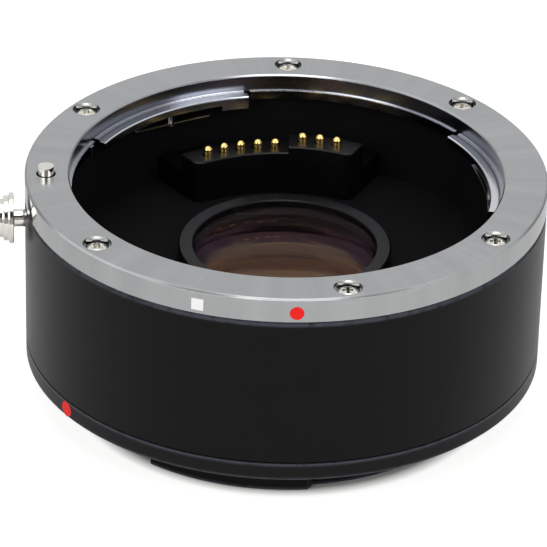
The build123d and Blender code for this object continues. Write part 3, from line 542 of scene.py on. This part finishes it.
# CAD nodes that keep their own mesh, by finish
SLOT_NODES = {
    "mount_steel": ("lens_mount_ring", "rotation_stop_pin"),
    "spring_steel": ("bayonet_leaf_springs", "leaf_spring_rivets"),
    "knob_chrome": ("lock_carriage",),
    "index_red": ("front_red_index", "rear_red_index"),
    "index_white": ("front_white_index",),
    "barrel_black": ("barrel_sleeve",),
    "chassis_black": (
        "inner_chassis",
        "rear_light_baffle",
        "lens_spacer_1",
        "lens_spacer_2",
        "lens_spacer_3",
    ),
    "mount_black": ("rear_bayonet_mount",),
    "cell_black": ("lens_cell", "front_retaining_ring"),
    "block_black": ("front_contact_block", "rear_contact_block"),
    "contact_gold": ("rear_contact_pads",),
    "board_green": ("contact_board",),
    "ribbon_amber": ("flex_ribbon",),
}
for slot_name, node_names in SLOT_NODES.items():
    for node_name in node_names:
        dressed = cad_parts[node_name].data.materials
        dressed.clear()
        dressed.append(FINISHES[slot_name])


# Making of pieces


# The largest share of a side that the rounding of one corner may take
EASE_LIMIT = 0.49


def eased(outline, steps=4):
    """An outline of radius, height and rounding, with its corners rounded."""
    points = []
    for place, (radius, height, ease) in enumerate(outline):
        corner = Vector((radius, height))
        if not ease:
            points.append(corner)
            continue
        before = Vector(outline[place - 1][:2]) - corner
        after = Vector(outline[(place + 1) % len(outline)][:2]) - corner
        reach = ease / math.tan(before.angle(after) / 2)
        start = corner + before.normalized() * min(reach, before.length * EASE_LIMIT)
        stop = corner + after.normalized() * min(reach, after.length * EASE_LIMIT)
        for step in range(steps + 1):
            share = step / steps
            points.append(
                start * (1 - share) ** 2 + corner * 2 * share * (1 - share) + stop * share**2
            )
    return points


def dome_points(radius, foot, rise, shares):
    """A rounded top, from its centre out. Each share is a share of the quarter turn."""
    angles = [share * HALF_TURN / 2 for share in shares]
    return [(radius * math.sin(angle), foot + rise * math.cos(angle)) for angle in angles]


# Sides of the circles of the knob and the glasses
FINE_SEGMENTS = 96


def turned_ring(work, radius, height, segments):
    """The vertices of one ring, or the single vertex of a point on the axis."""
    if not radius:
        return [work.verts.new((0, 0, height * MM))]
    ring = []
    for step in range(segments):
        angle = FULL_TURN * step / segments
        spot = (radius * MM * math.cos(angle), radius * MM * math.sin(angle), height * MM)
        ring.append(work.verts.new(spot))
    return ring


def smooth_but_sharp(mesh, sharp):
    """Smooth shading, with edges past an angle in degrees left sharp."""
    mesh.shade_smooth()
    mesh.set_sharp_from_angle(angle=math.radians(sharp))


def turned_mesh(name, points, segments, place=Matrix.Identity(4), sharp=30):
    """A mesh turned about its axis from points of radius and height, in millimetres."""
    work = bmesh.new()
    rings = [turned_ring(work, radius, height, segments) for radius, height in points]
    for lower, upper in zip(rings, rings[1:]):
        for step in range(segments):
            after = (step + 1) % segments
            if len(lower) == 1:
                work.faces.new((lower[0], upper[step], upper[after]))
            elif len(upper) == 1:
                work.faces.new((lower[step], lower[after], upper[0]))
            else:
                work.faces.new((lower[step], lower[after], upper[after], upper[step]))
    bmesh.ops.recalc_face_normals(work, faces=work.faces)
    mesh = bpy.data.meshes.new(name)
    work.to_mesh(mesh)
    work.free()
    mesh.transform(place)
    smooth_but_sharp(mesh, sharp)
    return mesh


def show(name, content):
    """Puts a mesh, a lamp or a camera in the scene as an object."""
    holder = bpy.data.objects.new(name, content)
    bpy.context.scene.collection.objects.link(holder)
    return holder


def stand(name, mesh, slot, body, node):
    """Puts a finished piece in the scene, in place of a CAD node, on a body."""
    piece = show(name, mesh)
    if not mesh.materials:
        mesh.materials.append(FINISHES[slot])
    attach(piece, body)
    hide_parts(node)
    return piece


def plain_copy(holder, name):
    """The evaluated shape of an object as a mesh of its own."""
    bpy.context.view_layer.update()
    seen = holder.evaluated_get(bpy.context.evaluated_depsgraph_get())
    mesh = bpy.data.meshes.new_from_object(seen)
    mesh.name = name
    return mesh


def drop(thing):
    """Removes a scratch object and its mesh."""
    mesh = thing.data
    bpy.data.objects.remove(thing)
    bpy.data.meshes.remove(mesh)


# Cross recess: its floor's height as a share of the head's, the half length and half width of a
# wing at the floor and at the top as shares of the head's radius, and how far the cutter stands out
RECESS_FLOOR_SHARE = 0.3
RECESS_FLOOR_SHARES = (0.2, 0.09)
RECESS_TOP_SHARES = (0.62, 0.19)
RECESS_CUTTER_PROUD = 0.1
SQUARE_CORNERS = ((-1, -1), (1, -1), (1, 1), (-1, 1))
WEDGE_FACES = ((3, 2, 1, 0), (4, 5, 6, 7), (0, 1, 5, 4), (1, 2, 6, 5), (2, 3, 7, 6), (3, 0, 4, 7))


def recess_wing(head, height):
    """One wing of the cross recess, narrower towards its bottom, as points of a wedge."""
    points = []
    for level, (long_share, short_share) in (
        (height * RECESS_FLOOR_SHARE, RECESS_FLOOR_SHARES),
        (height + RECESS_CUTTER_PROUD, RECESS_TOP_SHARES),
    ):
        points += [
            Vector((x * head * long_share, y * head * short_share, level)) for x, y in SQUARE_CORNERS
        ]
    return points


def cut_recess(holder, head, height):
    """Cuts the cross recess out of a screw's head."""
    for turn in (0.0, HALF_TURN / 2):
        turning = Matrix.Rotation(turn, 3, "Z")
        mesh = bpy.data.meshes.new("recess_wing")
        mesh.from_pydata([turning @ point * MM for point in recess_wing(head, height)], [], WEDGE_FACES)
        wing = show("recess_wing", mesh)
        cut = holder.modifiers.new("recess", "BOOLEAN")
        cut.operation = "DIFFERENCE"
        cut.solver = "EXACT"
        cut.object = wing
        shape = plain_copy(holder, holder.data.name)
        holder.modifiers.clear()
        holder.data = shape
        drop(wing)


# Screws: the head's rim as a share of its height, the chamfer below the head, the thread, and the
# tip as a share of the shank's radius
SCREW_RIM_SHARE = 0.42
SCREW_DOME_SHARES = (0.0, 0.2, 0.36, 0.5, 0.62, 0.73, 0.83, 0.92, 1.0)
SCREW_CHAMFER = 0.05
THREAD_PITCH = 0.35
THREAD_DEPTH = 0.12
SCREW_TIP_SHARE = 0.55
SCREW_SEGMENTS = 40
SCREW_SHARP_ANGLE = 35


def screw_template(name, head, height, shank, length, upside_down):
    """One domed cross-recess screw with a threaded shank, its seat at the origin."""
    rim = height * SCREW_RIM_SHARE
    core = shank - THREAD_DEPTH
    points = dome_points(head, rim, height - rim, SCREW_DOME_SHARES)
    points += [(head, SCREW_CHAMFER), (head - SCREW_CHAMFER, 0.0), (shank, 0.0)]
    level = -THREAD_PITCH
    while level > -length + 2 * THREAD_PITCH:
        points += [(shank, level), (core, level - THREAD_PITCH / 2)]
        level -= THREAD_PITCH
    points += [(core, -length + THREAD_PITCH), (shank * SCREW_TIP_SHARE, -length), (0.0, -length)]
    holder = show(name, turned_mesh(name, points, SCREW_SEGMENTS, sharp=SCREW_SHARP_ANGLE))
    cut_recess(holder, head, height)
    if upside_down:
        holder.data.transform(Matrix.Rotation(HALF_TURN, 4, "X"))
    smooth_but_sharp(holder.data, SCREW_SHARP_ANGLE)
    return holder


def geometry_tree(name, inputs):
    """A geometry tree with named inputs. Returns it and its input sockets."""
    tree = bpy.data.node_groups.new(name, "GeometryNodeTree")
    tree.interface.new_socket("Geometry", in_out="INPUT", socket_type="NodeSocketGeometry")
    tree.interface.new_socket("Geometry", in_out="OUTPUT", socket_type="NodeSocketGeometry")
    for label, kind in inputs:
        tree.interface.new_socket(label, in_out="INPUT", socket_type=kind)
    return tree, tree.nodes.new("NodeGroupInput").outputs


def close_geometry(tree, shape, finish):
    """Ends a geometry tree with real, dressed geometry."""
    real = put(tree, "GeometryNodeRealizeInstances", {"Geometry": shape})
    dressed = put(tree, "GeometryNodeSetMaterial", {"Geometry": real, "Material": finish})
    close_group(tree, dressed)


def set_inputs(modifier, values):
    """Sets a modifier's inputs by their sockets' identifiers."""
    for socket in modifier.node_group.interface.items_tree:
        if socket.in_out == "INPUT" and socket.name in values:
            modifier[socket.identifier] = values[socket.name]


def make_screw_tree():
    """Stands one screw on each point, turned by chance about its own axis."""
    tree, given = geometry_tree(
        "screws_in_their_seats",
        (
            ("Screw", "NodeSocketObject"),
            ("Largest turn", "NodeSocketFloat"),
            ("Seed", "NodeSocketInt"),
            ("Finish", "NodeSocketMaterial"),
        ),
    )
    points = put(tree, "GeometryNodeMeshToPoints", {"Mesh": given["Geometry"]})
    screw = put(tree, "GeometryNodeObjectInfo", {"Object": given["Screw"]}, out="Geometry")
    chance = put(
        tree,
        "FunctionNodeRandomValue",
        {2: 0.0, 3: given["Largest turn"], "Seed": given["Seed"]},
        out=1,
        data_type="FLOAT",
    )
    about = put(tree, "ShaderNodeCombineXYZ", {"Z": chance})
    turning = put(tree, "FunctionNodeEulerToRotation", {0: about})
    stood = put(
        tree,
        "GeometryNodeInstanceOnPoints",
        {"Points": points, "Instance": screw, "Rotation": turning},
    )
    close_geometry(tree, stood, given["Finish"])
    return tree


def make_coil_tree():
    """A coil spring that stands on a point, wound upwards."""
    tree, given = geometry_tree(
        "coil_spring",
        (
            ("Turns", "NodeSocketFloat"),
            ("Coil radius", "NodeSocketFloat"),
            ("Wire radius", "NodeSocketFloat"),
            ("Height", "NodeSocketFloat"),
            ("Foot", "NodeSocketVector"),
            ("Finish", "NodeSocketMaterial"),
        ),
    )
    line = put(
        tree,
        "GeometryNodeCurveSpiral",
        {
            "Resolution": 28,
            "Rotations": given["Turns"],
            "Start Radius": given["Coil radius"],
            "End Radius": given["Coil radius"],
            "Height": given["Height"],
        },
    )
    wire = put(
        tree,
        "GeometryNodeCurvePrimitiveCircle",
        {"Resolution": 10, "Radius": given["Wire radius"]},
    )
    wound = put(
        tree,
        "GeometryNodeCurveToMesh",
        {"Curve": line, "Profile Curve": wire, "Fill Caps": True},
    )
    stood = put(tree, "GeometryNodeTransform", {"Geometry": wound, "Translation": given["Foot"]})
    close_geometry(tree, stood, given["Finish"])
    return tree


SCREW_TREE = make_screw_tree()
COIL_TREE = make_coil_tree()


def grown_mesh(name, points, tree, values):
    """The plain mesh that a geometry tree makes from points."""
    seeds = bpy.data.meshes.new(name)
    seeds.from_pydata([point * MM for point in points], [], [])
    holder = show(name + "_seeds", seeds)
    growing = holder.modifiers.new("growing", "NODES")
    growing.node_group = tree
    set_inputs(growing, values)
    mesh = plain_copy(holder, name)
    holder.modifiers.clear()
    drop(holder)
    return mesh


def stand_coil(name, node, circle, turn, span, turns, radius, wire):
    """A coil spring between two heights, standing on the housing."""
    foot, top = span
    mesh = grown_mesh(
        name,
        [Vector((0, 0, 0))],
        COIL_TREE,
        {
            "Turns": turns,
            "Coil radius": radius * MM,
            "Wire radius": wire * MM,
            "Height": (top - foot - 2 * wire) * MM,
            "Foot": at(circle, turn, foot + wire) * MM,
            "Finish": FINISHES["spring_steel"],
        },
    )
    mesh.shade_smooth()
    coil = stand(name, mesh, "spring_steel", HOUSING, node)
    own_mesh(coil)


# Pieces

# Screws: piece, node, head radius and height, shank radius and length, circle, seat heights by
# clock angle, and whether the head hangs below its seat
SCREW_SETS = (
    ("mount_ring_screws", "lens_mount_screws", 1.45, 1.0, 0.8, 5.2, 30.1,
     {177.4: 23.6, 129: 23.6, 54.7: 23.6, 11.7: 23.6, -51.2: 23.6, -124: 23.6}, False),
    ("camera_flange_screws", "rear_mount_screws", 1.45, 0.8, 0.75, 6.0, 29.325,
     {45: 0.95, 135: 0.95, 225: 0.95, 315: 0.95}, True),
    ("cell_flange_screws", "lens_cell_screws", 1.0, 0.6, 0.6, 3.2, 16.75,
     {30: 8.3, 150: 8.3, 270: 8.3}, True),
    ("contact_block_screws", "front_block_screws", 1.1, 0.6, 0.6, 4.6, 25.55,
     {158.78: 9.9, 206.0: 9.9}, True),
    ("contact_rail_screws", "rear_block_screws", 0.95, 0.55, 0.5, 2.5, 20.925,
     {152.91: -3.7, 212.85: -4.55}, True),
)
for seed, row in enumerate(SCREW_SETS):
    piece_name, node_name, head, height, shank, length, circle, seats, below = row
    template = screw_template(piece_name + "_one", head, height, shank, length, below)
    mesh = grown_mesh(
        piece_name,
        [at(circle, turn, seat) for turn, seat in seats.items()],
        SCREW_TREE,
        {
            "Screw": template,
            "Largest turn": HALF_TURN / 2,
            "Seed": seed,
            "Finish": FINISHES["fastener_chrome"],
        },
    )
    drop(template)
    stand(piece_name, mesh, "fastener_chrome", HOUSING, node_name)

# Sprung contacts and their coil springs
PIN_CIRCLE = 20.6
BOARD_TOP = 13.3
PIN_TURNS = (158.92, 165.26, 171.6, 181.47, 187.81, 194.16, 200.5, 206.84)
RAISED_PINS = 3
RAISED_BLOCK_TOP = 18.65
MAIN_BLOCK_TOP = 17.7
BLOCK_ROOF = 1.22
PIN_PROUD = 1.15
PIN_RADIUS = 0.6
PIN_DOME_SHARES = (0.0, 0.15, 0.3, 0.45, 0.6, 0.75, 0.88, 1.0)
PIN_SEGMENTS = 40
COLLAR_RADIUS = 0.7
COLLAR_HEIGHT = 0.45
COLLAR_BEVEL_WIDTH = 0.04
COLLAR_BEVEL_HEIGHT = 0.05
PIN_COIL_TURNS = 6.0
PIN_COIL_RADIUS = PIN_RADIUS - 0.02
PIN_WIRE = 0.07
for place, turn in enumerate(PIN_TURNS, start=1):
    block_top = RAISED_BLOCK_TOP if place <= RAISED_PINS else MAIN_BLOCK_TOP
    collar_top = block_top - BLOCK_ROOF
    collar_bottom = collar_top - COLLAR_HEIGHT
    dome_foot = block_top + PIN_PROUD - PIN_RADIUS
    outline = dome_points(PIN_RADIUS, dome_foot, PIN_RADIUS, PIN_DOME_SHARES)
    outline += [
        (PIN_RADIUS, collar_top),
        (COLLAR_RADIUS - COLLAR_BEVEL_WIDTH, collar_top),
        (COLLAR_RADIUS, collar_top - COLLAR_BEVEL_HEIGHT),
        (COLLAR_RADIUS, collar_bottom + COLLAR_BEVEL_HEIGHT),
        (COLLAR_RADIUS - COLLAR_BEVEL_WIDTH, collar_bottom),
        (0.0, collar_bottom),
    ]
    stood = Matrix.Translation(at(PIN_CIRCLE, turn) * MM)
    pin_name = f"sprung_contact_{place}"
    pin_mesh = turned_mesh(pin_name, outline, PIN_SEGMENTS, stood)
    stand(pin_name, pin_mesh, "contact_gold", f"contact_{place}", f"contact_pin_{place}")
    stand_coil(
        f"contact_coil_{place}",
        f"contact_spring_{place}",
        PIN_CIRCLE,
        turn,
        (BOARD_TOP, collar_bottom),
        PIN_COIL_TURNS,
        PIN_COIL_RADIUS,
        PIN_WIRE,
    )

# Coil spring of the lens lock
LOCK_TURN = -88.2
LOCK_SPRING_CIRCLE = 29.8
LOCK_SPRING_SPAN = (13.08, 17.23)
LOCK_COIL_TURNS = 6.5
LOCK_WIRE = 0.12
LOCK_COIL_RADIUS = 0.95 - LOCK_WIRE
stand_coil(
    "lock_coil",
    "lock_spring",
    LOCK_SPRING_CIRCLE,
    LOCK_TURN,
    LOCK_SPRING_SPAN,
    LOCK_COIL_TURNS,
    LOCK_COIL_RADIUS,
    LOCK_WIRE,
)

# Lock pin: a plain plunger with a rounded edge at both ends
LOCK_PIN_RADIUS = 1.0
LOCK_PIN_CIRCLE = 29.85
LOCK_PIN_BOTTOM = 20.1
LOCK_PIN_TOP = 26.0
LOCK_PIN_ROUNDING = 0.1
LOCK_PIN_SEGMENTS = 48
pin_outline = [
    (0.0, LOCK_PIN_BOTTOM, 0),
    (LOCK_PIN_RADIUS, LOCK_PIN_BOTTOM, LOCK_PIN_ROUNDING),
    (LOCK_PIN_RADIUS, LOCK_PIN_TOP, LOCK_PIN_ROUNDING),
    (0.0, LOCK_PIN_TOP, 0),
]
lock_pin_mesh = turned_mesh(
    "mount_lock_pin",
    eased(pin_outline, 2),
    LOCK_PIN_SEGMENTS,
    Matrix.Translation(at(LOCK_PIN_CIRCLE, LOCK_TURN) * MM),
)
stand("mount_lock_pin", lock_pin_mesh, "fastener_chrome", LENS_RELEASE, "lock_pin")

# Release knob: a stem and three stepped discs, turned about a spoke of the barrel. An outline's
# points are radius, distance from the optical axis and rounding
KNOB_HEIGHT = 18.73
STEM_RADIUS = 1.1
STEM_START = 28.9
DISC_START = 33.88
KNOB_DISCS = ((3.17, 0.62), (2.815, 0.7), (2.405, 0.62))
DISH_EDGE_RADIUS = 1.9
DISH_FLOOR_RADIUS = 1.75
DISH_DEPTH = 0.12
knob_outline = [(0.0, STEM_START, 0), (STEM_RADIUS, STEM_START, 0.1), (STEM_RADIUS, DISC_START, 0.06)]
disc_face = DISC_START
for radius, width in KNOB_DISCS:
    knob_outline += [(radius, disc_face, 0.1), (radius, disc_face + width, 0.13)]
    disc_face += width
knob_outline += [
    (DISH_EDGE_RADIUS, disc_face, 0.04),
    (DISH_FLOOR_RADIUS, disc_face - DISH_DEPTH, 0.05),
    (0.0, disc_face - DISH_DEPTH, 0),
]
knob_place = (
    Matrix.Translation((0, 0, KNOB_HEIGHT * MM))
    @ Matrix.Rotation(math.radians(LOCK_TURN + 90), 4, "Z")
    @ Matrix.Rotation(-HALF_TURN / 2, 4, "Y")
)
knob_mesh = turned_mesh("stepped_release_knob", eased(knob_outline), FINE_SEGMENTS, knob_place)
stand("stepped_release_knob", knob_mesh, "knob_chrome", LENS_RELEASE, "release_knob")

# Glass, from the front element down: edge thickness, the two curves as shares of the glass's
# radius, and the space below. A face of the rim is told by how little its normal leans up or down
GLASS_RADIUS = 12.0
FRONT_GLASS_HEIGHT = 13.52
GLASS_STACK = (
    (2.3, 5.0, 3.0, 0.6),
    (3.0, -10.0, 5.0, CEMENT_GAP),
    (0.8, 5.0, -12.5, 1.5),
    (0.8, 12.5, -6.0, CEMENT_GAP),
    (3.0, -6.0, 7.5, 0.6),
    (0.9, 6.0, -8.0, 0.0),
)
GLASS_STEPS = 20
RIM_LEAN = 0.1
GLASS_FINISHES = (
    glass_finish("coated_glass_front", 168.0, 1.17),
    glass_finish("coated_glass_inner", 136.0, 1.16),
)


def glass_height(share, edge_height, radius):
    """The height of a glass surface at a radius from the axis."""
    curve = GLASS_RADIUS * share
    centre = edge_height - curve * math.cos(math.asin(1 / share))
    return centre + curve * math.cos(math.asin(radius / curve))


edge = FRONT_GLASS_HEIGHT
for place, (thickness, top_share, bottom_share, space) in enumerate(GLASS_STACK, start=1):
    radii = [GLASS_RADIUS * step / GLASS_STEPS for step in range(GLASS_STEPS + 1)]
    upper = [(radius, glass_height(top_share, edge, radius)) for radius in radii]
    edge -= thickness
    lower = [(radius, glass_height(bottom_share, edge, radius)) for radius in reversed(radii)]
    glass_mesh = turned_mesh(f"glass_{place}", upper + lower, FINE_SEGMENTS)
    kind = 0 if place == 1 else 1
    glass_mesh.materials.append(GLASS_FINISHES[kind])
    glass_mesh.materials.append(GLASS_EDGES[kind])
    for face in glass_mesh.polygons:
        if abs(face.normal.z) < RIM_LEAN:
            face.material_index = 1
    stand(f"glass_{place}", glass_mesh, "coated_glass", HOUSING, f"lens_element_{place}")
    edge -= space


# Floor, light and camera


def white_to_sight(tree):
    """Masks of camera, glossy and transmitted rays together, and of camera rays alone."""
    path = tree.nodes.new("ShaderNodeLightPath").outputs
    seen = calc(tree, "MAXIMUM", path["Is Camera Ray"], path["Is Glossy Ray"])
    return calc(tree, "MAXIMUM", seen, path["Is Transmission Ray"]), path["Is Camera Ray"]


# Floor: its half width in metres, its tones, and its own light as the radii in millimetres where
# the light starts and is full, and its strength. Inside the first radius the floor has no light of
# its own: a painted shadow round the object's foot
FLOOR_HALF_WIDTH = 3.0
FLOOR_TONES = ((0.67, 0.67, 0.67), (0.7, 0.7, 0.7))
GLOW_TO_CAMERA = (26, 28, 0.74)
GLOW_TO_OBJECT = (29, 34, 0.25)


def clear_floor(tree, distance, start, stop, glow):
    """The floor's own light, which rises from 0 between two radii in millimetres."""
    sockets = {"Value": distance, "From Min": start * MM, "From Max": stop * MM, "To Max": glow}
    return put(tree, "ShaderNodeMapRange", sockets)


def floor_finish():
    """Pale paper that clears to white around the object, with a painted shadow close round its foot."""
    material, tree, shader, place = finish_named(
        "floor_pale", Roughness=0.9, Specular_IOR_Level=0.0, Emission_Color=(1, 1, 1, 1)
    )
    paper = effect(tree, GRAIN, Place=place, Size=2 * MM)
    feed(tree, shader, Base_Color=blend_colours(tree, paper, *FLOOR_TONES))
    distance = distance_of(tree, place)
    sight, camera_ray = white_to_sight(tree)
    # No glow close round the object: a painted shadow, seen mostly in reflections
    to_camera = calc(tree, "MULTIPLY", camera_ray, clear_floor(tree, distance, *GLOW_TO_CAMERA))
    to_object = calc(tree, "MULTIPLY", sight, clear_floor(tree, distance, *GLOW_TO_OBJECT))
    feed(tree, shader, Emission_Strength=calc(tree, "MAXIMUM", to_camera, to_object))
    return material


floor_mesh = bpy.data.meshes.new("floor")
floor_corners = [
    (x * FLOOR_HALF_WIDTH, y * FLOOR_HALF_WIDTH, TUBE_BOTTOM * MM) for x, y in SQUARE_CORNERS
]
floor_mesh.from_pydata(floor_corners, [], [(0, 1, 2, 3)])
floor_mesh.materials.append(floor_finish())
floor = show("floor", floor_mesh)


def toward(azimuth, elevation):
    """A direction from the object. Azimuth 0 is the camera's side and 90 is +X."""
    a, e = math.radians(azimuth), math.radians(elevation)
    return Vector((math.sin(a) * math.cos(e), -math.cos(a) * math.cos(e), math.sin(e)))


def room_patch(tree, ray, azimuth, elevation, inner, outer, outside, inside):
    """A brightness in a round part of the room and another outside it. The radii are in degrees."""
    aligned = put(
        tree,
        "ShaderNodeVectorMath",
        {0: ray, 1: toward(azimuth, elevation)},
        out="Value",
        operation="DOT_PRODUCT",
    )
    mask = put(
        tree,
        "ShaderNodeMapRange",
        {
            "Value": aligned,
            "From Min": math.cos(math.radians(outer)),
            "From Max": math.cos(math.radians(inner)),
        },
        interpolation_type="SMOOTHSTEP",
    )
    return spread(tree, mask, outside, inside)


# Parts of the room: azimuth, elevation, inner and outer radius, and the brightness outside and
# inside. The dark front is a share that the rest is multiplied by. Rays from dull surfaces see one
# even brightness
BACK_WALL = (180, 30, 20, 58, 0.36, 0.84)
CEILING = (0, 90, 16, 36, 0.0, 1.8)
DARK_FRONT = (0, 42, 7, 19, 1.0, 0.05)
LEFT_WALL = (-100, 40, 12, 34, 0.0, 0.9)
RIGHT_WALL = (100, 40, 12, 34, 0.0, 0.55)
EVEN_BRIGHTNESS = 0.3


def light_room():
    """A room that is white to the camera, and whose bright and dark parts show in reflections."""
    world = bpy.data.worlds.new("studio")
    bpy.context.scene.world = world
    world.use_nodes = True
    tree = world.node_tree
    background = tree.nodes["Background"]
    background.inputs["Color"].default_value = (1, 1, 1, 1)
    ray = put(tree, "ShaderNodeTexCoord", out="Generated")
    sides = calc(tree, "ADD", room_patch(tree, ray, *LEFT_WALL), room_patch(tree, ray, *RIGHT_WALL))
    walls = calc(tree, "ADD", room_patch(tree, ray, *BACK_WALL), sides)
    lit = calc(tree, "ADD", walls, room_patch(tree, ray, *CEILING))
    room = calc(tree, "MULTIPLY", lit, room_patch(tree, ray, *DARK_FRONT))
    sight, camera_ray = white_to_sight(tree)
    seen_room = calc(tree, "MAXIMUM", camera_ray, room)
    strength = spread(tree, sight, EVEN_BRIGHTNESS, seen_room)
    tree.links.new(strength, background.inputs["Strength"])


light_room()


def softbox(name, azimuth, elevation, distance, width, height, radiance, colour):
    """An area lamp that faces the object, with its brightness as radiance."""
    lamp = bpy.data.lights.new(name, "AREA")
    lamp.shape = "RECTANGLE"
    lamp.size = width
    lamp.size_y = height
    lamp.energy = radiance * math.pi * width * height
    lamp.color = colour
    holder = show(name, lamp)
    away = toward(azimuth, elevation)
    holder.location = Vector((0, 0, REGISTER * MM)) + away * distance
    holder.rotation_euler = away.to_track_quat("Z", "Y").to_euler()


# Lamps: azimuth, elevation, distance, width and height in metres, radiance and colour
SOFTBOXES = {
    "overhead_box": (0, 74, 0.6, 0.34, 0.3, 3.0, (1.0, 0.995, 0.98)),
    "left_box": (-44, 29, 0.5, 0.3, 0.28, 4.0, (1.0, 0.985, 0.95)),
    "right_box": (44, 29, 0.5, 0.3, 0.28, 4.0, (1.0, 0.985, 0.95)),
}
for lamp_name, lamp_sizes in SOFTBOXES.items():
    softbox(lamp_name, *lamp_sizes)

# Camera: fitted to the mount ring's two circles, the barrel's outline and the screws
VIEW_TURN = math.radians(2.958)
VIEW_HEIGHT = math.radians(27.6285)
VIEW_DISTANCE = 477.798
VIEW_ROLL = math.radians(1.4821)
VIEW_CENTRE = 24.6
AIM_SIDE = -1.3063
AIM_DROP = -14.3547
FOCAL_LENGTH = 252.967

camera_data = bpy.data.cameras.new("camera")
camera_data.sensor_width = 36.0
camera_data.lens = FOCAL_LENGTH
camera_data.clip_start = 0.01
camera_data.clip_end = 20.0
camera = show("camera", camera_data)
about_axis = Matrix.Rotation(-VIEW_TURN, 3, "Z")
eye = about_axis @ Vector(
    (0, -VIEW_DISTANCE * math.cos(VIEW_HEIGHT), VIEW_DISTANCE * math.sin(VIEW_HEIGHT))
)
aim = about_axis @ Vector((AIM_SIDE, 0, AIM_DROP))
forward = (aim - eye).normalized()
right = forward.cross(Vector((0, 0, 1))).normalized()
up = right.cross(forward)
tilted_right = right * math.cos(VIEW_ROLL) + up * math.sin(VIEW_ROLL)
tilted_up = up * math.cos(VIEW_ROLL) - right * math.sin(VIEW_ROLL)
facing = Matrix((tilted_right, tilted_up, -forward)).transposed()
camera.matrix_world = Matrix.Translation((eye + Vector((0, 0, VIEW_CENTRE))) * MM) @ facing.to_4x4()
bpy.context.scene.camera = camera
bpy.context.scene.view_settings.view_transform = "Standard"
